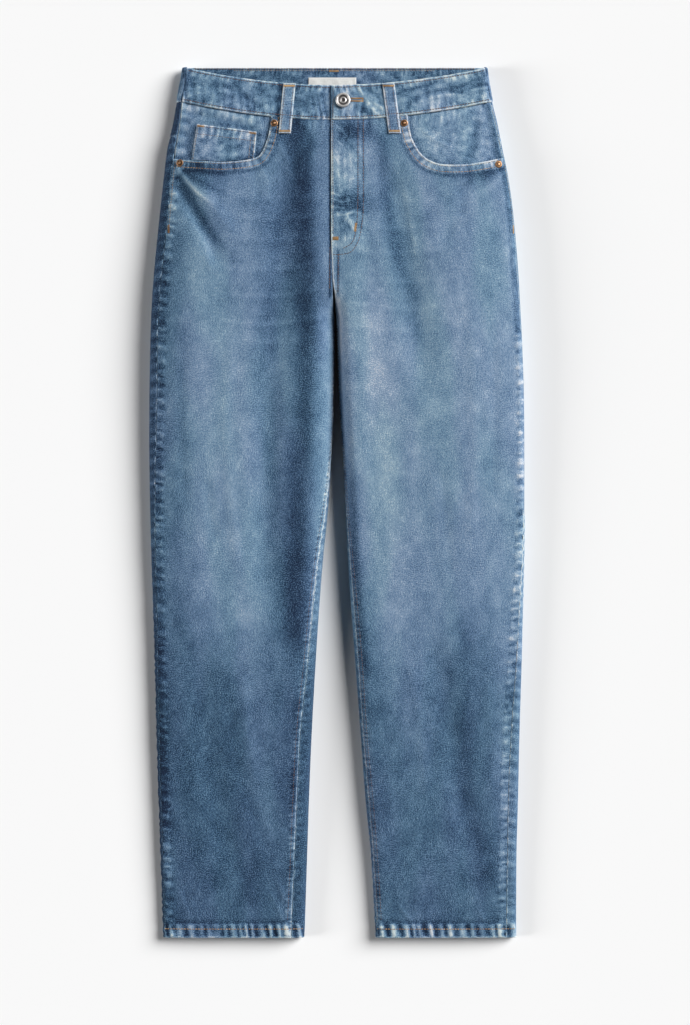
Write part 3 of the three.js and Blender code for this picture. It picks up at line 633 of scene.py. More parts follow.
class Graph:
    """Node graph of one material."""

    def __init__(self, name: str) -> None:
        """Starts an empty material."""
        self.material = bpy.data.materials.new(name)
        self.material.use_nodes = True
        self.tree = self.material.node_tree
        self.tree.nodes.clear()

    def node(self, kind: str, settings: dict, sockets: dict, output: int | str = 0) -> Wire:
        """Adds a node.

        Args:
            kind: the node's type.
            settings: what the node has beside its sockets; stops are a ramp's places and colours.
            sockets: values or wires by socket name or number.
            output: the name or number of the output that is wanted.

        Returns:
            That output.
        """
        node = self.tree.nodes.new(kind)
        for name, value in settings.items():
            if name == "stops":
                self.fill_ramp(node.color_ramp, value)
            else:
                setattr(node, name, value)
        for name, value in sockets.items():
            if isinstance(value, Wire):
                self.tree.links.new(value.socket, node.inputs[name])
            else:
                node.inputs[name].default_value = value
        return Wire(self, node.outputs[output]) if len(node.outputs) else None

    @staticmethod
    def fill_ramp(ramp: bpy.types.ColorRamp, stops: Sequence[tuple[float, Colour]]) -> None:
        """Gives a ramp its stops."""
        while len(ramp.elements) < len(stops):
            ramp.elements.new(1.0)
        for element, (place, colour) in zip(ramp.elements, stops):
            element.position = place
            element.color = (*colour, 1.0)

    def attribute(self, name: str, output: str = "Fac") -> Wire:
        """What the mesh holds at each of its points under a name."""
        return self.node("ShaderNodeAttribute", {"attribute_name": name}, {}, output)

    def noise(self, place: Wire, scale: float, stretch: Colour = (1, 1, 1), detail: float = 2.0,
              flat: bool = True) -> Wire:
        """Even noise around 0, in features of 1 / scale metres, shorter along an axis with more stretch."""
        spread = self.node("ShaderNodeVectorMath", {"operation": "MULTIPLY"}, {0: place, 1: stretch})
        return self.node("ShaderNodeTexNoise", {"noise_dimensions": "2D" if flat else "3D"},
                         {"Vector": spread, "Scale": scale, "Detail": detail}) - 0.5

    def between(self, value: Wire, low: float, high: float) -> Wire:
        """Smooth step of a value from 0 at low to 1 at high."""
        return self.node("ShaderNodeMapRange", {"interpolation_type": "SMOOTHSTEP"},
                         {"Value": value, "From Min": low, "From Max": high})

    def colours(self, value: Wire, stops: Sequence[tuple[float, Colour]]) -> Wire:
        """Colour of a ramp at a value."""
        return self.node("ShaderNodeValToRGB", {"stops": stops}, {"Fac": value}, "Color")

    def bump(self, height: Wire, strength: float, distance: float) -> Wire:
        """Normal tilted by small relief."""
        sockets = {"Height": height, "Strength": strength, "Distance": distance}
        return self.node("ShaderNodeBump", {}, sockets)

    def surface(self, sockets: dict) -> Material:
        """Ends the graph in one Principled shader and hands over the material."""
        shader = self.node("ShaderNodeBsdfPrincipled", {}, sockets)
        self.node("ShaderNodeOutputMaterial", {}, {"Surface": shader})
        return self.material

    def place(self) -> Wire:
        """Place on the object, in metres."""
        return self.node("ShaderNodeTexCoord", {}, {}, "Object")


INDIGO = ((0.0, (0.010, 0.021, 0.048)), (0.2, (0.026, 0.062, 0.122)), (0.4, (0.072, 0.142, 0.243)),
          (0.6, (0.146, 0.243, 0.362)), (0.8, (0.260, 0.370, 0.488)), (1.0, (0.600, 0.650, 0.670)))


@dataclass(frozen=True)
class WashedDenim:
    """Indigo twill, paler where its fade is high and along worn edges, with salt-and-pepper grain; the fade
    also carries painted shade, painted shadows and painted light.
    """

    name: str = "washed_denim"
    grain: float = 0.95
    streaks: float = 0.26
    blotches: float = 0.22
    edge_wear: float = 0.36
    twill: float = 0.04
    rib: float = 0.0011
    teal: Colour = (0.96, 1.01, 0.99)
    violet: Colour = (1.02, 0.985, 1.02)

    def material(self) -> Material:
        """Makes the material."""
        g = Graph(self.name)
        weave = g.attribute("weave", "Vector")
        fine = g.noise(weave, 880, detail=1.0)
        coarse = g.noise(weave, 420, (1, 0.8, 1))
        warp = g.noise(weave, 900, (1, 0.14, 1))
        weft = g.noise(weave, 480, (0.2, 1, 1))
        cloud = g.noise(weave, 60, (1, 0.6, 1), detail=4.0)
        slope = g.node("ShaderNodeVectorMath", {"operation": "DOT_PRODUCT"},
                       {0: weave, 1: (math.tau / self.rib, 0.8 * math.tau / self.rib, 0)}, "Value")
        rib = g.node("ShaderNodeMath", {"operation": "SINE"}, {0: slope + warp * 5.0})
        near_edge = g.between(g.attribute("edge") + 3.0 * coarse + 1.6 * cloud, 1.7, 0.6)
        fade = g.attribute("fade")
        grain = self.grain * (1.55 - 1.1 * fade)
        tone = (fade + grain * (0.95 * fine + 0.22 * coarse) + self.streaks * warp
                + 0.4 * self.streaks * weft + self.blotches * cloud + self.twill * rib
                + self.edge_wear * near_edge)
        drift = g.between(g.noise(weave, 22, (1, 0.22, 1), detail=1.0), -0.16, 0.16)
        tint = g.colours(drift, ((0.0, self.teal), (1.0, self.violet)))
        tinted = g.node("ShaderNodeMix", {"data_type": "RGBA", "blend_type": "MULTIPLY"},
                        {"Factor": 1.0, 6: g.colours(tone, INDIGO), 7: tint}, 2)
        relief = 0.5 * fine + 0.6 * coarse + 0.5 * warp + 0.22 * rib
        return g.surface({"Base Color": tinted, "Normal": g.bump(relief, 0.6, 0.0006),
                          "Roughness": 0.9, "Sheen Weight": 0.03, "Sheen Roughness": 0.5,
                          "Specular IOR Level": 0.12})


@dataclass(frozen=True)
class ClothFinish:
    """Plain woven cloth of two near tones."""

    name: str
    dark: Colour
    light: Colour
    scale: float = 620.0
    roughness: float = 0.9

    def material(self) -> Material:
        """Makes the material."""
        g = Graph(self.name)
        place = g.place()
        weave = g.noise(place, self.scale, (1, 0.35, 1), flat=False)
        cross = g.noise(place, self.scale, (0.35, 1, 1), flat=False)
        cloud = g.noise(place, 30, detail=3.0, flat=False)
        tone = 0.5 + 1.1 * weave + 0.8 * cross + 0.7 * cloud
        colour = g.colours(tone, ((0.0, self.dark), (1.0, self.light)))
        return g.surface({"Base Color": colour, "Normal": g.bump(weave + cross, 0.5, 0.0004),
                          "Roughness": self.roughness, "Specular IOR Level": 0.2})


@dataclass(frozen=True)
class ThreadFinish:
    """Spun topstitch thread, faded here and there by the wash."""

    name: str
    dark: Colour
    light: Colour

    def material(self) -> Material:
        """Makes the material."""
        g = Graph(self.name)
        place = g.place()
        fibre = g.noise(place, 2600, detail=1.0, flat=False)
        patch = g.noise(place, 70, flat=False)
        tone = 0.5 + 0.8 * fibre + 1.8 * patch
        colour = g.colours(tone, ((0.1, self.dark), (0.9, self.light)))
        return g.surface({"Base Color": colour, "Normal": g.bump(fibre, 0.4, 0.0002), "Roughness": 0.7,
                          "Specular IOR Level": 0.3})


@dataclass(frozen=True)
class MetalFinish:
    """Stamped metal, dull in its recesses and rubbed bright on its rims."""

    name: str
    dark: Colour
    light: Colour

    def material(self) -> Material:
        """Makes the material."""
        g = Graph(self.name)
        scuffs = g.noise(g.place(), 900, detail=4.0, flat=False)
        tone = g.attribute("fade") + 0.8 * scuffs
        roughness = 0.42 - 0.5 * scuffs
        return g.surface({"Base Color": g.colours(tone, ((0.1, self.dark), (0.8, self.light))),
                          "Roughness": roughness, "Metallic": 0.75, "Normal": g.bump(scuffs, 0.2, 0.0002)})


class Finishes:
    """All materials, each made once."""

    def __init__(self) -> None:
        """Makes them."""
        self.denim = WashedDenim().material()
        self.inside = ClothFinish("denim_inside", (0.10, 0.125, 0.165), (0.33, 0.37, 0.42)).material()
        self.tape = ClothFinish("zip_tape", (0.02, 0.03, 0.05), (0.07, 0.09, 0.13)).material()
        self.cotton = ClothFinish("label_cotton", (0.66, 0.66, 0.64), (0.80, 0.80, 0.78), 900).material()
        self.tan = ThreadFinish("thread_tan", (0.13, 0.10, 0.08), (0.40, 0.34, 0.27)).material()
        self.brown = ThreadFinish("thread_brown", (0.05, 0.035, 0.04), (0.19, 0.125, 0.11)).material()
        self.orange = ThreadFinish("thread_orange", (0.19, 0.10, 0.04), (0.56, 0.36, 0.17)).material()
        self.silver = MetalFinish("button_silver", (0.11, 0.10, 0.10), (0.72, 0.70, 0.68)).material()
        self.copper = MetalFinish("rivet_copper", (0.06, 0.028, 0.015), (0.52, 0.29, 0.15)).material()
        self.single = (self.denim, self.inside)
        self.doubled = (self.denim, self.denim)


def made(name: str, points: Array, faces: Array, materials: Sequence[Material],
         slots: Array | None = None, layers: dict[str, Array] | None = None) -> Piece:
    """Object from points in millimetres.

    Args:
        name: the piece's name.
        points: its points.
        faces: three or four point numbers for each face.
        materials: its materials.
        slots: the number of each face's material.
        layers: values or vectors that the points hold, by name.

    Returns:
        The object, in the scene.
    """
    mesh = bpy.data.meshes.new(name)
    sides = faces.shape[1]
    mesh.vertices.add(len(points))
    mesh.vertices.foreach_set("co", (points * MM).astype(np.float32).ravel())
    mesh.loops.add(faces.size)
    mesh.loops.foreach_set("vertex_index", faces.astype(np.int32).ravel())
    mesh.polygons.add(len(faces))
    mesh.polygons.foreach_set("loop_start", np.arange(0, faces.size, sides, dtype=np.int32))
    mesh.polygons.foreach_set("use_smooth", np.ones(len(faces), bool))
    if slots is not None:
        mesh.polygons.foreach_set("material_index", slots.astype(np.int32))
    mesh.update(calc_edges=True)
    for layer, values in (layers or {}).items():
        vector = values.ndim == 2
        attribute = mesh.attributes.new(layer, "FLOAT_VECTOR" if vector else "FLOAT", "POINT")
        attribute.data.foreach_set("vector" if vector else "value", values.astype(np.float32).ravel())
    for material in materials:
        mesh.materials.append(material)
    piece = bpy.data.objects.new(name, mesh)
    bpy.context.scene.collection.objects.link(piece)
    return piece


def dressed(piece: Piece, slot: str, *nodes: str) -> Piece:
    """Sets a finished piece on the body and hides the nodes that it stands for."""
    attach(piece, "root")
    if nodes:
        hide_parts(*nodes)
    log.info("%s: %d faces", piece.name, len(piece.data.polygons))
    return piece


def clipped(table: Array, faces: Array, keep: Array) -> tuple[Array, Array]:
    """Cuts a mesh exactly where a value at its points passes 0.

    Args:
        table: a row of values for each point.
        faces: three point numbers for each face.
        keep: above 0 where the mesh stays.

    Returns:
        The new table and faces.
    """
    inside = keep > 0
    count = inside[faces].sum(axis=1)
    extra, known, cut = [], {}, []

    def crossing(a: int, b: int) -> int:
        """Number of the new point between two points."""
        pair = (min(a, b), max(a, b))
        if pair not in known:
            extra.append(mix(table[a], table[b], keep[a] / (keep[a] - keep[b])))
            known[pair] = len(table) + len(extra) - 1
        return known[pair]

    for face in faces[(count > 0) & (count < 3)].tolist():
        loop = []
        for a, b in zip(face, face[1:] + face[:1]):
            if inside[a]:
                loop.append(a)
            if inside[a] != inside[b]:
                loop.append(crossing(a, b))
        cut += [(loop[0], loop[i], loop[i + 1]) for i in range(1, len(loop) - 1)]
    joined = np.concatenate([table, np.array(extra).reshape(-1, table.shape[1])])
    faces = np.concatenate([faces[count == 3], np.array(cut, int).reshape(-1, 3)])
    used, faces = np.unique(faces, return_inverse=True)
    return joined[used], faces.reshape(-1, 3)


def rim_edges(faces: Array) -> Array:
    """Edges that only one face has, in that face's direction."""
    edges = np.concatenate([faces[:, [0, 1]], faces[:, [1, 2]], faces[:, [2, 0]]])
    size = faces.max() + 1
    codes = edges[:, 0] * size + edges[:, 1]
    return edges[~np.isin(codes, edges[:, 1] * size + edges[:, 0])]


@dataclass
class Cloth:
    """Grid of spots on one piece of cloth, with what its finish reads at each."""

    points: Array
    across: Array
    along: Array
    border: Array
    facing: float = 1.0
    closed: bool = False
    reference: float = 0.5
    # How pale the cloth is: wash and wear, with painted shade, painted shadows and painted light added in
    # places
    fade: Array | float = 0.5
    edge: Array | float = FAR
    keep: Array | None = None
    area: float = field(default=0.0, init=False)
    size: tuple[float, float] = field(default=(0.0, 0.0), init=False)

    def __post_init__(self) -> None:
        """Measures the cloth while it is still smooth."""
        legs = np.linalg.norm(np.diff(self.points, axis=1), axis=2).sum(axis=1)
        rises = np.linalg.norm(np.diff(self.points, axis=0), axis=2).sum(axis=0)
        self.size = (float(legs.max()) * MM, float(rises.max()) * MM)

    def normals(self) -> Array:
        """Directions out of the cloth's face."""
        p = self.points
        if self.closed:
            across = np.roll(p, -1, axis=1) - np.roll(p, 1, axis=1)
        else:
            across = np.gradient(p, axis=1)
        normals = np.cross(across, np.gradient(p, axis=0))
        normals /= np.linalg.norm(normals, axis=2, keepdims=True) + 1e-9
        seen = normals[len(p) // 2, int(p.shape[1] * self.reference), 2]
        return normals * (math.copysign(1, seen) * self.facing)

    def lift(self, relief: Array) -> None:
        """Moves the cloth out along its normals."""
        self.points = self.points + self.normals() * relief[..., None]

    def shell(self, name: str, outside: float, inside: float,
              materials: Sequence[Material]) -> Piece:
        """Closed shell of the cloth's thickness, rounded at its border.

        Args:
            name: the piece's name.
            outside: how far its face lies out from the spots.
            inside: how far its inner face does.
            materials: the finish of the face and of the inner face.

        Returns:
            The object.
        """
        rows, columns = self.points.shape[:2]
        half, middle = (outside - inside) / 2, (outside + inside) / 2
        border = self.border if self.keep is None else np.minimum(self.border, self.keep)
        full = half * np.maximum(rounded(border / (1.3 * half)), 0.16)
        normals = self.normals()
        spread = np.broadcast_to
        table = np.concatenate([
            self.points + normals * (middle + full)[..., None],
            self.points + normals * (middle - full)[..., None],
            normals, self.across[..., None], self.along[..., None],
            spread(self.fade, (rows, columns))[..., None],
            spread(self.edge, (rows, columns))[..., None]], axis=2).reshape(rows * columns, -1)
        index = np.arange(rows * columns).reshape(rows, columns)
        if self.closed:
            index = np.concatenate([index, index[:, :1]], axis=1)
        a, b, c, d = index[:-1, :-1], index[:-1, 1:], index[1:, 1:], index[1:, :-1]
        faces = np.concatenate([np.stack(corners, -1).reshape(-1, 3) for corners in ((a, b, c), (a, c, d))])
        if self.keep is not None:
            table, faces = clipped(table, faces, self.keep.ravel())
        upper, lower, out = table[:, 0:3], table[:, 3:6], table[:, 6:9]
        corner, second, third = (upper[faces[:, k]] for k in range(3))
        turned = np.cross(second - corner, third - corner)
        if (turned * out[faces[:, 0]]).sum() < 0:
            faces = faces[:, ::-1]
        self.area = float(np.linalg.norm(turned, axis=1).sum()) / 2 * MM * MM
        count = len(table)
        rim = rim_edges(faces)
        walls = np.concatenate([np.stack([rim[:, 1], rim[:, 0], rim[:, 0] + count], -1),
                                np.stack([rim[:, 1], rim[:, 0] + count, rim[:, 1] + count], -1)])
        whole = np.concatenate([faces, faces[:, ::-1] + count, walls])
        slots = np.zeros(len(whole))
        slots[len(faces):2 * len(faces)] = len(materials) - 1
        weave = np.stack([table[:, 9], table[:, 10], np.zeros(count)], -1) * MM
        layers = {"weave": np.tile(weave, (2, 1)), "fade": np.tile(table[:, 11], 2),
                  "edge": np.tile(table[:, 12], 2)}
        return made(name, np.concatenate([upper, lower]), whole, materials, slots, layers)

    def laid(self, kind: str, node: str, slot: str, offsets: tuple[float, float],
             materials: Sequence[Material], *rests_on: str) -> Piece:
        """Args:
            kind: the start of its name.
            node: the node that it stands for, and the rest of its name.
            slot: not used.
            offsets: how far its face and its inner face lie out from the spots.
            materials: the finish of the face and of the inner face.
            rests_on: not used.

        Returns:
            The object.
        """
        piece = dressed(self.shell(f"{kind}_{node}", *offsets, materials), slot, node)
        return piece


@dataclass(frozen=True)
class Zone:
    """Soft patch that is paler, or darker where the change is below 0; most patches are wash, and some are
    painted shade, painted shadow and painted light.
    """

    x: float
    y: float
    wide: float
    high: float
    change: float

    def at(self, x: Array, y: Array) -> Array:
        """Change of fade at each point."""
        u, v = (x - self.x) / self.wide, (y - self.y) / self.high
        return self.change * np.exp(-(u * u + v * v))


@dataclass(frozen=True)
class Mottle:
    """Uneven small patches of wear."""

    size: float
    contrast: float
    seed: int

    def at(self, x: Array, y: Array) -> Array:
        """Change of fade at each point."""
        cells = 64
        table = np.random.default_rng(self.seed).uniform(-1, 1, (cells, cells))
        u, v = np.asarray(x) / self.size, np.asarray(y) / self.size
        i, j = np.floor(u).astype(int), np.floor(v).astype(int)
        share_u, share_v = smooth(0, 1, u - i), smooth(0, 1, v - j)
        low, high = (mix(table[i % cells, row % cells], table[(i + 1) % cells, row % cells], share_u)
                     for row in (j, j + 1))
        return self.contrast * mix(low, high, share_v)


@dataclass(frozen=True)
class WashAndShade:
    """How pale the denim is at each height, with its patches and the streaks at the crotch; some zones and
    lines lay painted shade, painted shadows and painted light on it.
    """

    SAG = 7.0
    BRIGHT, DARK = 3.2, 3.6
    DARK_SHARE = 0.6

    height: Curve
    zones: tuple[Zone, ...]
    lines: tuple[Fold, ...]
    whiskers: tuple[tuple[float, float, float], ...]
    inner_x: float
    outer_x: float

    def at(self, x: Array, y: Array) -> Array:
        """Fade at each point."""
        fade = self.height(y) + sum(zone.at(x, y) for zone in self.zones) + folded(self.lines, x, y)[1]
        share = (x - self.inner_x) / (self.outer_x - self.inner_x)
        fan = smooth(-0.05, 0.12, share) * smooth(1.05, 0.7, share)
        for inner, outer, strength in self.whiskers:
            above = y - mix(inner, outer, share) + self.SAG * np.sin(np.pi * np.clip(share, 0, 1))
            bright = np.exp(-((above / self.BRIGHT) ** 2))
            dark = np.exp(-(((above + self.SAG) / self.DARK) ** 2))
            fade = fade + strength * fan * (bright - self.DARK_SHARE * dark)
        return fade


WASH_PLACES = (-500, -300, -225, -165, -110, 0, 150, 250, 330, 400, 460, 500)
RIGHT_WASH_AND_SHADE = WashAndShade(
    Curve(WASH_PLACES, (0.31, 0.28, 0.31, 0.44, 0.58, 0.63, 0.65, 0.59, 0.54, 0.52, 0.53, 0.53)),
    # Zone(-152, 386) here, and Zone(-168, 386) and Zone(-146, 378) below, are painted shadow along the
    # right pocket mouth
    (Zone(-60, 225, 46, 30, -0.06), Zone(-152, 386, 30, 8, -0.38), Zone(-95, 355, 30, 26, 0.03),
     Zone(-160, 260, 14, 60, 0.10), Zone(-80, -400, 16, 26, 0.05), Zone(-54, -430, 8, 22, -0.12),
     Zone(-45, -240, 6, 16, -0.16), Zone(-50, -320, 6, 18, -0.18), Zone(-150, -390, 40, 50, -0.05),
     Zone(-168, 386, 12, 9, -0.24), Zone(-146, 378, 24, 9, -0.14), Zone(-95, -430, 16, 34, -0.10),
     Zone(-188, -475, 16, 14, -0.12)),
    # The next two lines are painted shade in and beside the long trough down the right thigh and shin
    (Fold(0, 17, ((-54, 455), (-46, 405), (-39, 340), (-38, 290), (-36, 230), (-35, 180), (-38, 110),
          (-42, 30), (-44, -60), (-46, -150), (-46, -200)), -0.43, (0.03, 0.85)),
     Fold(0, 18, ((-66, 390), (-70, 300), (-74, 220), (-80, 150), (-76, 80), (-70, 0), (-64, -120),
          (-62, -190)), -0.21, (0.1, 0.85)),
     # The next two lines are painted shade on the leg's outer flank and side seam, which face away from the
     # light
     Fold(0, 22, ((-190, 350), (-190, 200), (-184, 60), (-188, -80), (-184, -220)), -0.17, (0.1, 0.8)),
     Fold(0, 6, ((-196, 320), (-203, 150), (-206, 0), (-204, -150), (-201, -300),
          (-197, -420)), -0.3, (0.1, 0.9)),
     # Painted shade along the crease below the right pocket's outer rivet
     Fold(0, 4.5, ((-180, 380), (-152, 364), (-124, 348)), -0.24, (0.05, 0.6)),
     # Painted shadow cast by the fly's lapped edge onto the right front
     Fold(0, 1.6, ((-8.6, 460), (-8.2, 380), (-8.2, 300), (-8.4, 232)), -0.52, (0.02, 0.98)),
     # Painted shadow beside the right front belt loop
     Fold(0, 4, ((-66, 440), (-70, 424), (-76, 406)), -0.22),
     Fold(0, 17, ((-104, -70), (-104, -160), (-88, -260), (-84, -330), (-76, -400)), 0.11)),
    WHISKERS_RIGHT, -14, -150)
LEFT_WASH_AND_SHADE = WashAndShade(
    Curve(WASH_PLACES, (0.35, 0.34, 0.37, 0.47, 0.57, 0.62, 0.64, 0.60, 0.58, 0.57, 0.56, 0.55)),
    (Zone(16, 425, 27, 12, -0.42), Zone(14, 342, 22, 12, -0.44), Zone(6, 318, 14, 12, -0.14),
     Zone(8, 384, 18, 18, 0.15), Zone(30, 360, 6, 50, 0.06), Zone(6, 300, 18, 10, 0.14),
     # Zone(0, 190) is painted light on the crotch's inner flank, which faces away from the light
     # Zone(172, 377) is painted shadow under the left pocket mouth's band
     Zone(0, 190, 5, 46, 0.50), Zone(172, 377, 18, 8, -0.20), Zone(130, 235, 34, 34, 0.07),
     Zone(176, 350, 10, 24, 0.05), Zone(190, -300, 9, 170, 0.14), Zone(50, -450, 8, 16, -0.08),
     Zone(176, -420, 10, 40, -0.08), Zone(66, 310, 14, 34, -0.07), Zone(30, 235, 30, 30, 0.06),
     Zone(196, 300, 9, 90, 0.10)),
    # Painted shade along the long trough down the left thigh
    (Fold(0, 8, ((50, 428), (54, 370), (60, 320), (70, 280), (86, 230), (98, 150)), -0.20, (0.05, 0.8)),
     Fold(0, 20, ((30, 250), (44, 150), (54, 0), (66, -130), (80, -250), (100, -370)), 0.10),
     Fold(0, 9, ((143, -110), (148, -200), (144, -320), (165, -400), (174, -450)), -0.12),
     # Painted shade along the left leg's inner edge beside the gap between the legs
     Fold(0, 8, ((14, 50), (20, -60), (26, -140), (31, -210)), -0.26),
     # Painted shadow under the left pocket mouth's band
     Fold(0, 6, ((88, 402), (104, 384), (130, 374), (160, 372)), -0.14),
     # Painted shadow beside the left front belt loop, below the waistband
     Fold(0, 2.4, ((56.6, 452), (60.0, 420)), -0.42, (0.02, 0.9)),
     Fold(0, 1.5, ((0.8, 294), (0.8, 232)), -0.34), Fold(0, 1.6, ((1, 404), (2, 350)), 0.14),
     Fold(0, 1.6, ((8, 408), (9, 356)), 0.12), Fold(0, 1.6, ((15, 402), (15, 352)), 0.14),
     Fold(0, 1.5, ((-7, 355), (4, 350), (9, 352)), 0.32),
     Fold(0, 1.4, ((-7, 347), (6, 343), (15, 346)), 0.32), Fold(0, 1.4, ((-7, 338), (8, 336)), 0.34),
     Fold(0, 1.6, ((-6, 328), (8, 328), (20, 333)), 0.30), Fold(0, 2.0, ((-2, 432), (12, 418)), 0.26),
     Fold(0, 1.8, ((20, 434), (26, 416)), 0.14), Fold(0, 1.6, ((-4, 416), (6, 408)), 0.22),
     Fold(0, 1.3, ((29.6, 440), (29.6, 342), (27, 312), (20, 291)), -0.16, (0.02, 0.98)),
     Fold(0, 1.2, ((23.4, 440), (23.3, 345), (20, 306), (14, 295)), -0.14, (0.02, 0.98))),
    WHISKERS_LEFT, 2, 140)

# Small patches of wear, on the legs and on thicker cloth
LEG_MOTTLES = (Mottle(13.0, 0.05, 51), Mottle(5.0, 0.045, 52))
BAND_MOTTLES = (Mottle(9.0, 0.17, 53), Mottle(4.2, 0.16, 54))
TRIM_MOTTLES = (Mottle(7.0, 0.13, 55), Mottle(3.4, 0.12, 56))


def mottled(mottles: Sequence[Mottle], x: Array, y: Array) -> Array:
    """Change of fade that patches make together."""
    return sum(mottle.at(x, y) for mottle in mottles)


# Puckers along the seams
SIDE_GATHERS = Gathers(11.0, 5.8, 0.80, 0.24, 11, 0.25)
FINE_GATHERS = Gathers(9.0, 2.6, 0.26, 0.15, 12, -0.2)
INSEAM_GATHERS = Gathers(8.5, 2.8, 0.44, 0.20, 13, 0.2)
HEM_GATHERS = Gathers(16.5, 5.2, 1.00, 0.60, 14, 0.16)
MOUTH_GATHERS = Gathers(10.5, 3.0, 0.45, 0.26, 15, 0.1)
WAIST_GATHERS = Gathers(14.0, 4.0, 0.45, 0.13, 16, 0.1)
BAND_GATHERS = Gathers(26.0, 4.6, 0.60, 0.17, 17, 0.2)
SEAT_GATHERS = Gathers(9.0, 3.4, 0.45, 0.22, 18, 0.2)

ACROSS_FRONT = steps((0, 0.4), (1.2, 1.1), (12, 2.6), (150, 1.3), (188.8, 0.4), end=190) / 190
ACROSS_BACK = steps((0, 0.5), (1.5, 1.3), (20, 3.2), (212, 1.6), (233.5, 0.5), end=235) / 235
ROWS_FRONT = steps((HEM, 0.5), (HEM + 1.5, 1.6), (HEM + 14, 0.8), (HEM + 19, 2.35), (240, 2.0), (320, 1.35),
                   end=WAIST_SEAM - GAP / 2)
ROWS_BACK = steps((HEM, 0.5), (HEM + 1.5, 1.8), (HEM + 14, 1.0), (HEM + 19, 3.6), (230, 3.2),
                  end=YOKE_SIDE - GAP / 2)

# Height from which the back's rows turn towards the yoke seam, and lower edge of the pocket facings
BACK_LIFT_FROM = 306.0
FACING_LOW = 379.0


@dataclass(frozen=True)
class Doubled:
    """Strip of doubled cloth along an edge, whose step is half the width of its soft inner border."""

    width: float
    step: float
    rise: float
    wear_and_shade: float

    def share(self, distance: Array) -> Array:
        """Share of the strip's rise at a distance in from the edge."""
        return smooth(self.width + self.step, self.width - self.step, distance)


HEM_STRIP = Doubled(HEM_DEPTH, 1.4, 0.75, 0.10)
MOUTH_STRIP = Doubled(10.7, 0.9, 0.45, 0.05)
SIDE_STRIP = Doubled(8.8, 0.8, 0.30, 0.06)
INSEAM_STRIP = Doubled(7.2, 0.6, 0.30, 0.06)


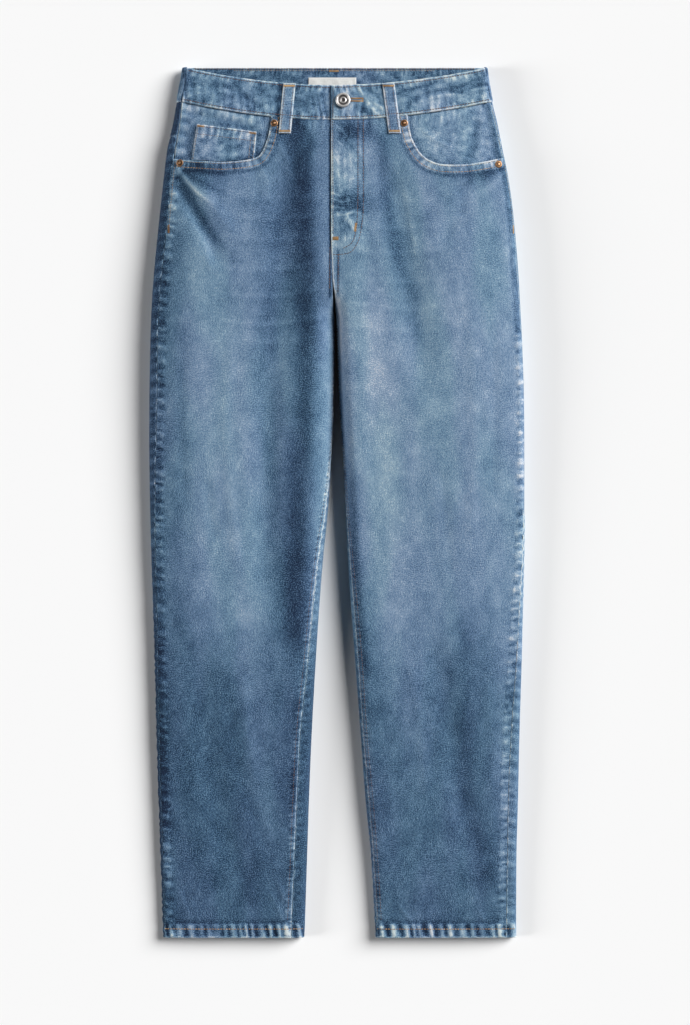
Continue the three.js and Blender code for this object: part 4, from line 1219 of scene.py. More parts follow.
class Leg:
    """Cloth of one half below the waistband: front, back, yoke, pocket facing and turned-up hem."""

    def __init__(self, half: Half, wash_and_shade: WashAndShade, mouth: Sequence[Plan], facing_x: float,
                 finishes: Finishes) -> None:
        """Keeps what the pieces are made from."""
        self.half = half
        self.wash_and_shade = wash_and_shade
        self.mouth = Path.spline(mouth)
        self.facing_x = facing_x
        self.finishes = finishes
        self.seed = 0.0 if half.inward > 0 else 437.0

    def mouth_distance(self, x: Array, y: Array) -> tuple[Array, Array]:
        """Distance from the pocket mouth, above 0 on the front, and the place along it."""
        distance, along = self.mouth.nearest(x, y)
        return distance * self.half.inward, along

    def front(self) -> Piece:
        """Front leg with its curved pocket mouth, hem, puckered seams and creases."""
        half, rows = self.half, ROWS_FRONT
        points, widths = half.front_grid(rows, ACROSS_FRONT)
        x, y = points[..., 0], points[..., 1]
        from_side = ACROSS_FRONT * widths[:, None]
        from_inner = (1 - ACROSS_FRONT) * widths[:, None]
        from_hem = np.repeat((rows - HEM)[:, None], len(ACROSS_FRONT), axis=1)
        to_waist = WAIST_SEAM - GAP / 2 - rows[:, None] + 0 * x
        near_mouth = y > 360
        mouth, along_mouth = np.full(x.shape, FAR), np.zeros(x.shape)
        mouth[near_mouth], along_mouth[near_mouth] = self.mouth_distance(x[near_mouth], y[near_mouth])
        seat = smooth(CROTCH_LOW - 20, CROTCH_HIGH, y)
        below_crotch = 1 - seat
        shift = y + self.seed

        relief, wear_and_shade = folded(FINE_FOLDS, x, y)
        for gathers, distance, along, amount in (
                (SIDE_GATHERS, from_side, shift, 1.0), (FINE_GATHERS, from_side, shift + 90, 1.0),
                (INSEAM_GATHERS, from_inner, shift, below_crotch),
                (FINE_GATHERS, from_inner, shift - 60, below_crotch),
                (HEM_GATHERS, from_hem, x - self.seed, smooth(0, 2.5, from_hem)),
                (MOUTH_GATHERS, np.abs(mouth), along_mouth - 100, smooth(0, 1.5, mouth)),
                (WAIST_GATHERS, to_waist, x + self.seed, smooth(0, 3, to_waist))):
            height, fade = gathers.at(distance, along)
            relief = relief + amount * height
            wear_and_shade = wear_and_shade + amount * fade
        hem_band, mouth_band = HEM_STRIP.share(from_hem), MOUTH_STRIP.share(mouth)
        seam_band = np.maximum(SIDE_STRIP.share(from_side), below_crotch * INSEAM_STRIP.share(from_inner))
        for strip, share in ((HEM_STRIP, hem_band), (MOUTH_STRIP, mouth_band), (SIDE_STRIP, seam_band)):
            relief, wear_and_shade = relief + strip.rise * share, wear_and_shade + strip.wear_and_shade * share
        relief -= 0.5 * smooth(HEM_DEPTH + 9, HEM_DEPTH + 1, from_hem) * (1 - hem_band)
        # Painted shadow just below the pocket mouth's doubled band
        wear_and_shade -= 0.20 * smooth(17, 11.6, mouth) * (1 - mouth_band)
        wear_and_shade -= 0.16 * smooth(HEM_DEPTH + 7, HEM_DEPTH + 1.4, from_hem) * (1 - hem_band)
        # Painted shadow along the front just below the waistband
        wear_and_shade -= 0.16 * smooth(3.0, 0.6, to_waist)
        wear_and_shade += mottled(LEG_MOTTLES, x, 0.6 * y)
        banded = np.maximum.reduce([hem_band, 0.8 * mouth_band, 0.7 * seam_band])
        wear_and_shade += mottled(BAND_MOTTLES, x, y) * banded
        if half.inward < 0:
            wear_and_shade += mottled(TRIM_MOTTLES, 1.6 * x, y) * smooth(34, 28, x) * smooth(*FLY_END, y)
        worn_inner = from_inner if half.inward < 0 else np.where(y > CROTCH_LOW, FAR, from_inner)
        border = np.minimum.reduce([from_side, from_inner, from_hem, to_waist])
        cloth = Cloth(points, from_side * half.inward, y, border)
        cloth.fade = self.wash_and_shade.at(x, y) + wear_and_shade
        fly_edge = worn_inner * mix(0.8, 0.48, smooth(FLY_BOTTOM - 10, FLY_BOTTOM, y))
        cloth.edge = np.minimum.reduce([from_side + 1.7, fly_edge, from_hem * 0.7, np.abs(mouth) * 0.75])
        cloth.keep = mouth
        cloth.lift(relief)
        return cloth.laid("denim", f"front_{half.name}", "denim", (0, -WALL), self.finishes.single,
                          f"back_{half.name}", f"pocket_facing_{half.name}")

    def under_relief(self, points: Array) -> Array:
        """Shallow creases of the underside, all lifted off the surface that it lies on."""
        x, y = points[..., 0] * self.half.inward, points[..., 1]
        height, _ = folded(UNDER_FOLDS, -x, y)
        return -np.abs(height) * smooth(9.0, 2.0, points[..., 2])

    def back(self) -> Piece:
        """Back leg up to the yoke, with the side fold that shows beside the front."""
        rise = YOKE_SIDE - BACK_LIFT_FROM
        share = np.clip((ROWS_BACK - BACK_LIFT_FROM) / (rise - GAP / 2), 0, 1)[:, None]
        seam = yoke_seam(ACROSS_BACK)[None, :] - GAP / 2
        heights = np.where(share > 0, mix(BACK_LIFT_FROM, seam, share), ROWS_BACK[:, None])
        points, widths = self.half.back_spots(heights, ACROSS_BACK)
        return self.under_piece("back", points, widths, ROWS_BACK[:, None] - HEM, (1 - share) * rise)

    def yoke(self) -> Piece:
        """Back yoke between the back leg and the waistband."""
        share = steps((0, 0.01), (0.03, 0.045), (0.96, 0.012), end=1)[:, None]
        heights = mix(yoke_seam(ACROSS_BACK)[None, :] + GAP / 2, WAIST_SEAM - GAP / 2, share)
        points, widths = self.half.back_spots(heights, ACROSS_BACK)
        return self.under_piece("yoke", points, widths, share * 60, (1 - share) * 60)

    def under_piece(self, kind: str, points: Array, widths: Array, below: Array,
                    above: Array) -> Piece:
        """Piece of the underside.

        Args:
            kind: the start of its node's name.
            points: its spots, from the side seam to the inseam or centre back.
            widths: each row's length along the cloth.
            below: distance up from its lower edge.
            above: distance down from its upper one.

        Returns:
            The object.
        """
        half, name = self.half, self.half.name
        y = points[..., 1]
        from_side = ACROSS_BACK * widths[:, None]
        from_inner = (1 - ACROSS_BACK) * widths[:, None]
        below, above = (np.broadcast_to(value, y.shape) for value in (below, above))
        shift = y + self.seed + 210
        relief, wear_and_shade = self.under_relief(points), np.zeros(y.shape)
        lying = smooth(7.0, 1.0, points[..., 2])
        rising = 1 - lying
        for gathers, distance, along in (
                (SIDE_GATHERS, from_side, shift), (INSEAM_GATHERS, from_inner, shift),
                (SEAT_GATHERS, above, points[..., 0] + self.seed)):
            height, fade = gathers.at(distance, along)
            relief = relief + height * rising - (np.abs(height) + height) / 2 * lying
            wear_and_shade = wear_and_shade + fade
        relief -= STITCH_ROOM * lying
        if kind == "back":
            height, fade = HEM_GATHERS.at(below, points[..., 0] + 60)
            relief = relief + height * rising - np.abs(height) * 0.5 * lying
            wear_and_shade = wear_and_shade + fade + 0.1 * smooth(HEM_DEPTH + 1, HEM_DEPTH - 1, below)
        border = np.minimum.reduce([from_side, from_inner, below, above])
        cloth = Cloth(points, -from_side * half.inward, y, border, facing=-1.0)
        # Painted shade on the right half's outer flank, which faces away from the light, painted light on
        # the left half's outer flank, which faces it, and a little painted shade on the inner flanks
        strip = np.where(from_side < from_inner, 0.40 if half.inward > 0 else -0.12, 0.05)
        cloth.fade = np.clip(self.wash_and_shade.height(y) - 0.02 + wear_and_shade - strip * rising, 0.08, 0.9)
        cloth.fade = cloth.fade + Zone(0, 300, 150, 70, 0.05).at(points[..., 0], y)
        worn_below = below * 0.8 + (kind != "back") * 0.4
        cloth.edge = np.minimum.reduce([from_side + 0.2, from_inner + 0.2, worn_below, above + 0.8])
        cloth.lift(relief)
        return cloth.laid("denim", f"{kind}_{name}", "denim", (0, -WALL), self.finishes.single,
                          f"back_pocket_{name}")

    def facing(self) -> Piece:
        """Denim facing that shows in the pocket mouth."""
        half, name = self.half, self.half.name
        rows = steps((FACING_LOW, 0.5), (FACING_LOW + 1.5, 1.7), end=WAIST_SEAM - GAP / 2)
        shares = steps((0, 0.005), (0.015, 0.016), (0.985, 0.005), end=1)
        x = mix(half.outseam(rows)[:, None] + 0.4 * half.inward, self.facing_x, shares[None, :])
        points = half.front_point(x, rows[:, None])
        y = points[..., 1]
        relief, wear_and_shade = folded(FACING_FOLDS, x, y)
        mouth, _ = self.mouth_distance(x, y)
        relief = relief * smooth(4, -6, mouth) - 0.1
        width = np.abs(x[:, :1] - x[:, -1:])
        from_side = shares * width
        seam_height, seam_wear = SIDE_GATHERS.at(from_side, y + self.seed)
        waist_height, waist_wear = WAIST_GATHERS.at(WAIST_SEAM - rows[:, None], x)
        relief = relief + 0.8 * (seam_height + waist_height) + 1.5 * smooth(8, 1, from_side)
        wear_and_shade = wear_and_shade + seam_wear + waist_wear
        sides = np.minimum(shares * width, (1 - shares) * width)
        edges = np.minimum(rows - FACING_LOW, WAIST_SEAM - GAP / 2 - rows)[:, None]
        cloth = Cloth(points, np.abs(x), y, np.minimum(sides, edges))
        shade = 0.58 if half.inward > 0 else 0.62
        # Darker within 9 mm of the pocket mouth: painted shadow from the front's edge
        cloth.fade = shade + wear_and_shade - 0.16 * smooth(-9, -1, mouth) + 0.03 * smooth(30, 0, WAIST_SEAM - y)
        cloth.fade = cloth.fade + mottled(TRIM_MOTTLES, x, y)
        cloth.edge = from_side + 0.2
        cloth.lift(relief - (WALL + LAYER_GAP))
        return cloth.laid("denim", f"pocket_facing_{name}", "denim", (0, -WALL), self.finishes.single,
                          f"yoke_{name}")

    def hem(self) -> Piece:
        """Turned-up hem inside the leg's end."""
        half, name = self.half, self.half.name
        rows = steps((HEM, 0.5), (HEM + 1, 1.8), (HEM + HEM_DEPTH - 1, 0.5), end=HEM + HEM_DEPTH)
        front, widths = half.front_grid(rows, ACROSS_FRONT)
        back, back_widths = half.back_grid(rows, ACROSS_BACK[::-1])
        points = np.concatenate([front, back], axis=1)
        across = np.concatenate([ACROSS_FRONT * widths[:, None],
                                 widths[:, None] + (1 - ACROSS_BACK[::-1]) * back_widths[:, None]], axis=1)
        along = np.repeat(rows[:, None], points.shape[1], axis=1)
        border = np.minimum(along - HEM, HEM + HEM_DEPTH - along)
        cloth = Cloth(points, across, along, border, closed=True, reference=0.25)
        cloth.fade = 0.46 + HEM_GATHERS.at(0 * along, across)[1] + mottled(BAND_MOTTLES, across, along)
        cloth.edge = along - HEM + 0.4
        out = -(WALL + GAP)
        return cloth.laid("denim", f"hem_{name}", "denim_inside", (out, out - TRIM_WALL),
                          self.finishes.doubled, f"back_{name}")


class Waistband:
    """Waistband in three pieces: right front, left front and back."""

    def __init__(self, finishes: Finishes) -> None:
        """Keeps the finishes and the rows of the band."""
        self.finishes = finishes
        self.rows = steps((WAIST_SEAM - 0.5, 0.5), (WAIST_SEAM + 1.5, 1.4), (WAIST_TOP - 2, 0.5),
                          end=WAIST_TOP)

    def band(self, name: str, points: Array, lengths: Array, shade: float, seed: float, facing: float,
             outside: float, rests_on: str) -> Piece:
        """One piece of the band.

        Args:
            name: its node's name after the word waistband.
            points: its spots.
            lengths: place of each column along the band.
            shade: how pale it is.
            seed: shift of its puckers.
            facing: 1 where it looks up, -1 where it looks down at its middle.
            outside: how far its face lies out from the spots.
            rests_on: not used.

        Returns:
            The object.
        """
        rows = np.repeat(self.rows[:, None], len(lengths), axis=1)
        lengths = np.broadcast_to(lengths, rows.shape)
        low, high = rows - self.rows[0], self.rows[-1] - rows
        ends = np.minimum(lengths, lengths.max() - lengths)
        relief, wear_and_shade = folded(BAND_FOLDS if facing > 0 else (), points[..., 0], points[..., 1])
        for gathers, distance, along in (
                (BAND_GATHERS, low, lengths + seed), (FINE_GATHERS, low, lengths - seed),
                (SEAT_GATHERS, high, lengths + seed + 70)):
            height, fade = gathers.at(distance, along)
            relief, wear_and_shade = relief + height, wear_and_shade + fade
        if facing < 0:
            lying = smooth(9.0, 4.0, points[..., 2])
            relief = relief * (1 - lying) - (np.abs(relief) + relief) / 2 * lying
        cloth = Cloth(points, lengths, rows, np.minimum.reduce([low, high, ends]), facing=facing)
        cloth.fade = shade + wear_and_shade + mottled(BAND_MOTTLES, lengths + seed, 1.4 * rows)
        cloth.edge = np.minimum(high * 0.8 + 0.2, low * 0.6 + 0.1)
        cloth.lift(relief)
        return cloth.laid("denim", f"waistband_{name}", "denim", (outside, outside - BAND_WALL),
                          self.finishes.doubled, rests_on)

    def left(self) -> Piece:
        """Left front, which ends in the buttonhole."""
        points, widths = LEFT.front_grid(self.rows, ACROSS_FRONT)
        return self.band("left", points, ACROSS_FRONT * widths[0], 0.63, 120, 1.0, BAND_RAISE,
                         "waistband_right")

    def right(self) -> Piece:
        """Right front, whose end steps down and runs on under the left one."""
        points, widths = RIGHT.front_grid(self.rows, ACROSS_FRONT)
        under = BAND_WALL + GAP
        points[..., 2] -= (under - FLY_LIFT) * smooth(*UNDERLAP_STEP, points[..., 0])
        reach = np.linspace(0, 1, 18)[1:]
        x = mix(points[:, -1:, 0], UNDERLAP, reach[None, :])
        tail = LEFT.front_point(x, self.rows[:, None])
        tail[..., 2] -= under
        lengths = np.concatenate([ACROSS_FRONT * widths[0], widths[0] + reach * (UNDERLAP + 7.6)])
        return self.band("right", np.concatenate([points, tail], axis=1), lengths, 0.48, 0, 1.0, BAND_RAISE,
                         "waistband_back")

    def back(self) -> Piece:
        """Back, round from the right side seam to the left one, whose inner face shows above the front."""
        right, right_widths = RIGHT.back_grid(self.rows, ACROSS_BACK)
        left, left_widths = LEFT.back_grid(self.rows, ACROSS_BACK[::-1][1:])
        lengths = np.concatenate([ACROSS_BACK * right_widths[0],
                                  right_widths[0] + (1 - ACROSS_BACK[::-1][1:]) * left_widths[0]])
        return self.band("back", np.concatenate([right, left], axis=1), lengths, 0.44, 60, -1.0, 0,
                         "belt_loop_back_centre")


class Patch:
    """Four-cornered piece that lies on the front or under the back."""

    def __init__(self, corners: Sequence[Plan], across: Array, down: Array) -> None:
        """Spreads a grid over the corners, given round from the upper outer one."""
        upper_a, upper_b, lower_b, lower_a = (np.array(corner, float) for corner in corners)
        u, v = across[None, :, None], down[:, None, None]
        self.plan = mix(mix(lower_a, lower_b, u), mix(upper_a, upper_b, u), v)
        self.width = float(np.linalg.norm(upper_b - upper_a))
        self.length = float(np.linalg.norm((upper_a + upper_b - lower_a - lower_b) / 2))
        self.u = np.broadcast_to(across[None, :], self.plan.shape[:2])
        self.v = np.broadcast_to(down[:, None], self.plan.shape[:2])

    def distances(self) -> tuple[Array, Array]:
        """Distances from the nearer side and from the upper edge."""
        return np.minimum(self.u, 1 - self.u) * self.width, (1 - self.v) * self.length

    def border(self) -> Array:
        """Distance from the nearest edge."""
        sides, top = self.distances()
        return np.minimum.reduce([sides, top, self.v * self.length])


LOOP_WIDTH = 14.0
LOOP_RISE = (9.0, 2.0)
LOOP_SHADE = 0.63


@dataclass(frozen=True)
class BeltLoop:
    """Folded strip stitched down both sides, with a bar tack at each end."""

    name: str
    half: Half
    top: Plan
    foot: Plan

    def corners(self) -> tuple[Plan, ...]:
        """Corners round from the upper outer one."""
        reach = LOOP_WIDTH / 2
        return ((self.top[0] - reach, self.top[1]), (self.top[0] + reach, self.top[1]),
                (self.foot[0] + reach, self.foot[1]), (self.foot[0] - reach, self.foot[1]))

    def piece(self, finishes: Finishes, side: Side) -> Piece:
        """Makes the loop on the front, or flat under the back.

        Args:
            finishes: the materials.
            side: the side that it is on.

        Returns:
            The object.
        """
        patch = Patch(self.corners(), steps((0, 0.05), (0.1, 0.1), (0.9, 0.05), end=1),
                      steps((0, 0.01), (0.04, 0.03), (0.96, 0.01), end=1))
        x, y = patch.plan[..., 0], patch.plan[..., 1]
        sides, top = patch.distances()
        ends = np.minimum(top, patch.v * patch.length)
        tucked = smooth(6.0, 4.0, ends)
        relief = 0.3 * np.sin(np.pi * patch.u) + 0.3 * tucked + 0.12 * np.sin(0.9 * y) * smooth(0, 4, sides)
        if side is Side.BACK:
            points = np.stack([x, y, np.full(x.shape, 0.45)], axis=-1)
            cloth = Cloth(points, x, y, patch.border(), facing=-1.0)
            offsets = (0.0, -(TRIM_WALL - 0.4))
            relief = relief * 0.3
        else:
            seam = self.half.front_point(self.foot[0], WAIST_SEAM)[1]
            rise = BAND_RAISE * smooth(seam - LOOP_RISE[0], seam - LOOP_RISE[1], y)
            points = np.stack([x, y, self.half.front(x, y) + rise], axis=-1)
            cloth = Cloth(points, x, y, patch.border())
            offsets = (GAP + TRIM_WALL, GAP)
        ribs = 0.07 * np.sin(1.9 * y + 0.6 * np.sin(0.5 * y)) * smooth(1.5, 3, sides)
        hollow = smooth(2.2, 4.2, sides) * (1 - tucked)
        cloth.fade = LOOP_SHADE - 0.12 * hollow + ribs + mottled(TRIM_MOTTLES, x, y)
        cloth.edge = np.minimum(sides, ends) * 0.8
        cloth.lift(relief)
        return cloth.laid("denim", self.name, "denim", offsets, finishes.doubled, "waistband_back")

    def sew(self, threads: "Threads", side: Side) -> None:
        """Sews both its sides and tacks both its ends."""
        (ax, ay), (bx, by), (cx, cy), (dx, dy) = self.corners()
        for (x0, y0), (x1, y1), inset in (((dx, dy), (ax, ay), 2.4), ((cx, cy), (bx, by), -2.4)):
            threads.row(Thread.BROWN, Path(((x0 + inset, y0 + 3), (x1 + inset, y1 - 3))), side)
        for middle in (mix(ay, dy, 0.05), mix(ay, dy, 0.95)):
            centre = float(np.interp(middle, (dy, ay), ((cx + dx) / 2, (ax + bx) / 2)))
            threads.tack((centre, middle), (1, 0), LOOP_WIDTH - 1.6, 2.6, side)


FRONT_LOOPS = (BeltLoop("belt_loop_front_right", RIGHT, (-55, 480.2), (-60.4, 422)),
               BeltLoop("belt_loop_front_left", LEFT, (58.2, 480.2), (65.6, 422)))
BACK_LOOPS = tuple(BeltLoop(f"belt_loop_back_{name}", RIGHT, (x, 499.5), (x, 444))
                   for name, x in (("right", -116), ("centre", -3), ("left", 108)))


class CoinPocket:
    """Small pocket on the right facing, with a folded upper edge."""

    BAND = 13.0

    def piece(self, finishes: Finishes, leg: Leg) -> Piece:
        """Makes the pocket, which goes down behind the pocket mouth."""
        patch = Patch(COIN_CORNERS, steps((0, 0.01), (0.04, 0.02), (0.96, 0.01), end=1),
                      steps((0, 0.03), (0.9, 0.012), end=1))
        x, y = patch.plan[..., 0], patch.plan[..., 1]
        sides, top = patch.distances()
        mouth, _ = leg.mouth_distance(x, y)
        relief, wear_and_shade = folded(FACING_FOLDS, x, y)
        puckers, paler = Gathers(self.BAND + 1, 3.4, 0.3, 0.24, 31, 0.15).at(top, x)
        side_puckers, side_paler = Gathers(6.0, 2.8, 0.2, 0.16, 32).at(sides, y + x)
        band = smooth(self.BAND + 1, self.BAND - 1, top)
        relief = 0.6 * relief + puckers + side_puckers + 0.35 * band - 0.75 * smooth(-5, 1, mouth)
        cloth = Cloth(np.stack([x, y, leg.half.front(x, y)], axis=-1), x, y, patch.border())
        # Darker within 9 mm of the pocket mouth: painted shadow from the front's edge
        cloth.fade = 0.51 + 0.6 * wear_and_shade + paler + side_paler + 0.06 * band - 0.14 * smooth(-9, -1, mouth)
        cloth.fade = cloth.fade + mottled(TRIM_MOTTLES, x, y) * 1.4
        cloth.edge = np.minimum(sides + 0.2, top + 0.1)
        cloth.keep = -mouth - COIN_CLEAR
        cloth.lift(relief)
        return cloth.laid("denim", "coin_pocket", "denim", (0, -WALL), finishes.single,
                          "pocket_facing_right")

    def sew(self, threads: "Threads") -> None:
        """Sews the folded edge and both sides, and tacks the upper corners."""
        (ax, ay), (bx, by), (cx, cy), (dx, dy) = COIN_CORNERS
        along = np.array([bx - ax, by - ay]) / math.hypot(bx - ax, by - ay)
        down = np.array([along[1], -along[0]])
        upper = np.array([(ax, ay), (bx, by)])
        for depth in (2.0, self.BAND - 2.0):
            threads.row(Thread.BROWN, Path(upper + down * depth + np.array([along, -along]) * 1.2))
        inner = Path(((bx - 1.6, by - 2), (mix(bx, cx, 0.86) - 1.6, mix(by, cy, 0.86))))
        outer = Path(((ax + 1.6, ay - 2), (mix(ax, dx, 0.9) + 1.6, mix(ay, dy, 0.9))))
        for line in (inner, inner.shifted(-4.6), outer):
            threads.row(Thread.TAN, line)
        for x, y in ((ax + 4.4, ay - 2.4), (bx - 4.4, by - 1.6)):
            threads.tack((x, y), tuple(along), 7.5, 2.4)


@dataclass(frozen=True)
class BackPocket:
    """Plain patch pocket with five corners, flat under the seat."""

    name: str
    middle: float
    mouth: float = 68.0
    foot: float = 60.0
    top: float = 376.0
    corner: float = 262.0
    point: float = 238.0
    band: float = 17.0

    def edge(self, x_share: Array, y_share: Array) -> Array:
        """Points at shares of the pocket's half width and of its height."""
        low = mix(self.point, self.corner, np.abs(x_share))
        y = mix(low, self.top, y_share)
        reach = mix(self.mouth, self.foot, np.clip((self.top - y) / (self.top - self.corner), 0, 1.2))
        return np.stack([self.middle + x_share * reach, y], axis=-1)

    def piece(self, finishes: Finishes) -> Piece:
        """Makes the pocket."""
        u = steps((-1, 0.006), (-0.98, 0.05), (0, 0.05), (0.98, 0.006), end=1)
        v = steps((0, 0.005), (0.02, 0.03), (0.84, 0.01), end=1)
        plan = self.edge(u[None, :], v[:, None])
        x, y = plan[..., 0], plan[..., 1]
        side = (1 - np.abs(u))[None, :] * self.mouth + 0 * x
        below = v[:, None] * (self.top - self.corner) + 0 * x
        top = self.top - y
        puckers, paler = Gathers(8.0, 3.6, 0.3, 0.12, 41).at(np.minimum(side, below), x + y)
        band, band_paler = Gathers(self.band, 4.4, 0.3, 0.12, 42, 0.2).at(top, x)
        relief = -np.abs(puckers) - np.abs(band) * 0.6 - 0.35 * smooth(self.band - 1, self.band + 1, top)
        points = np.stack([x, y, np.full(x.shape, STITCH_ROOM)], axis=-1)
        cloth = Cloth(points, x, y, np.minimum.reduce([side, below, top]), facing=-1.0)
        cloth.fade = 0.56 + paler + band_paler - 0.05 * smooth(self.band, self.band + 2, top)
        cloth.edge = np.minimum.reduce([side, below, top * 0.7])
        cloth.lift(relief)
        return cloth.laid("denim", self.name, "denim", (0, -TRIM_WALL), finishes.single)

    def sew(self, threads: "Threads") -> None:
        """Sews two rows round its sides and foot and two across its mouth."""
        ends = ((-1, 1), (-1, 0), (0, 0), (1, 0), (1, 1))
        for inset in (2.0, 8.0):
            share = 1 - inset / self.mouth
            rise = inset / (self.top - self.corner)
            corners = [self.edge(np.array(u * share), np.array(mix(rise, 1 - 1.5 / 130, v)))
                       for u, v in ends]
            threads.row(Thread.TAN, Path(corners), Side.BACK)
        for depth in (2.5, self.band - 2.5):
            level, reach = self.top - depth, self.mouth - 4
            line = Path(((self.middle - reach, level), (self.middle + reach, level)))
            threads.row(Thread.TAN, line, Side.BACK)
        for way in (-1, 1):
            threads.tack((self.middle + way * (self.mouth - 3.2), self.top - 5), (0, 1), 9, 3, Side.BACK)


@dataclass(frozen=True)
class FlyStrip:
    """Strip behind the fly."""

    name: str
    left: float
    right: float
    bottom: float
    outside: float
    thickness: float

    def piece(self, slot: str, material: Material) -> Piece:
        """Makes the strip, which follows the front without the fly's lap."""
        x, y = np.meshgrid(np.linspace(self.right, self.left, 26), np.linspace(self.bottom, FLY_TOP, 90))
        lap = LEFT.front_point(x, y)
        lap[..., 2] -= LEFT.fly_lift(x, lap[..., 1])
        points = np.where((x < LEFT.inner(WAIST_SEAM))[..., None], RIGHT.front_point(x, y), lap)
        border = np.minimum.reduce([x - self.right, self.left - x, y - self.bottom, FLY_TOP - y])
        cloth = Cloth(points, x, y, border)
        offsets = (self.outside, self.outside - self.thickness)
        return cloth.laid("fly", self.name, slot, offsets, (material,), "waistband_right")


SHIELD_OUTSIDE = -(WALL + LAYER_GAP + 0.9 + GAP)
FLY_SHIELD = FlyStrip("fly_shield", 34, -26, 276, SHIELD_OUTSIDE, WALL)
ZIP_TAPE = FlyStrip("zip", 16, -22, 300, -(WALL + LAYER_GAP), 0.9)


class Label:
    """Blank cotton label inside the back of the waistband."""

    WIDTH, LOW, HIGH, THICKNESS = 55.0, 464.0, 488.8, 0.6

    def piece(self, finishes: Finishes) -> Piece:
        """Makes the label."""
        x, y = np.meshgrid(CENTRE_X + np.linspace(-0.5, 0.5, 80) * self.WIDTH,
                           np.linspace(self.LOW, self.HIGH, 40))
        border = np.minimum.reduce([x - x[0, 0], x[0, -1] - x, y - self.LOW, self.HIGH - y])
        level = UNDER_LIFT + BAND_WALL + GAP + self.THICKNESS / 2
        wave = 0.25 * np.sin(0.21 * x + 0.9) + 0.14 * np.sin(0.5 * x + 0.12 * y)
        points = np.stack([x, y, level + wave * smooth(0, 4, border) + 0.1], axis=-1)
        cloth = Cloth(points, x, y, border)
        half = self.THICKNESS / 2
        return cloth.laid("blank", "label", "label_cotton", (half, -half), (finishes.cotton,),
                          "waistband_back")


@dataclass(frozen=True)
class Stud:
    """Turned metal piece that stands on the front, square to its face.

    The profile has the share of the radius, the share of the height and the brightness at each point.
    """

    name: str
    node: str
    half: Half
    x: float
    y: float
    radius: float
    height: float
    above: float
    profile: tuple[tuple[float, float, float], ...]
    sides: int = 72

    def piece(self, slot: str, material: Material) -> Piece:
        """Makes the stud."""
        normal = self.half.front_normal(self.x, self.y)
        across = np.cross([0, 1, 0], normal)
        across /= np.linalg.norm(across)
        foot = np.array([self.x, self.y, float(self.half.front(self.x, self.y))]) + normal * self.above
        rings, shades = [], []
        turn = np.linspace(0, math.tau, self.sides, endpoint=False)
        spokes = np.cos(turn)[:, None] * across + np.sin(turn)[:, None] * np.cross(normal, across)
        for radius, height, shade in self.profile:
            rings.append(foot + normal * height * self.height + spokes * radius * self.radius)
            shades.append(np.full(self.sides, shade))
        index = np.arange(len(rings) * self.sides).reshape(len(rings), self.sides)
        a, b = index[:-1], index[1:]
        faces = np.stack([a, np.roll(a, -1, 1), np.roll(b, -1, 1), b], -1).reshape(-1, 4)
        caps = [foot, foot + normal * self.profile[-1][1] * self.height]
        points = np.concatenate([*rings, caps])
        first, last = index[0], index[-1]
        low = np.stack([np.roll(first, -1), first, np.full(self.sides, len(points) - 2)], -1)
        high = np.stack([last, np.roll(last, -1), np.full(self.sides, len(points) - 1)], -1)
        triangles = np.concatenate([faces[:, [0, 1, 2]], faces[:, [0, 2, 3]], low, high])
        fade = np.concatenate([*shades, [self.profile[0][2]], [self.profile[-1][2]]])
        piece = made(self.name, points, triangles, (material,), None, {"fade": fade})
        return dressed(piece, slot, self.node)


BUTTON_PROFILE = ((0.2, 0, 0), (0.84, 0, 0), (0.93, 0.05, 0.1), (0.985, 0.2, 0.3), (1, 0.42, 0.5),
                  (1, 0.64, 0.7), (0.975, 0.84, 0.9), (0.93, 0.96, 1), (0.87, 1, 1), (0.79, 1, 0.95),
                  (0.73, 0.96, 0.8), (0.69, 0.84, 0.35), (0.65, 0.73, 0.1), (0.58, 0.69, 0.05),
                  (0.50, 0.67, 0.1), (0.455, 0.70, 0.3), (0.42, 0.77, 0.6), (0.38, 0.84, 0.75),
                  (0.32, 0.87, 0.7), (0.27, 0.84, 0.3), (0.22, 0.76, 0.0), (0.05, 0.74, 0.0))
RIVET_PROFILE = ((0.2, 0, 0), (0.88, 0, 0), (0.97, 0.1, 0.3), (1, 0.3, 0.5), (0.98, 0.5, 0.7),
                 (0.9, 0.66, 0.6), (0.76, 0.74, 0.4), (0.58, 0.78, 0.2), (0.42, 0.76, 0.1),
                 (0.34, 0.80, 0.3), (0.29, 0.92, 0.8), (0.2, 0.99, 1), (0.05, 1, 1))
BUTTON = Stud("fly_button", "button", LEFT, 6.3, WAIST_SEAM, 8.6, 3.4, BAND_RAISE + GAP, BUTTON_PROFILE)
RIVETS = tuple(Stud(f"copper_{name}", name, half, x, y, 4.1, 1.4, GAP + 0.35, RIVET_PROFILE, 40)
               for name, half, x, y in (("rivet_right_inner", RIGHT, -72.4, 434),
                                        ("rivet_right_outer", RIGHT, -180.2, 388.6),
                                        ("rivet_left_inner", LEFT, 76.4, 434),
                                        ("rivet_left_outer", LEFT, 184.4, 387.4)))


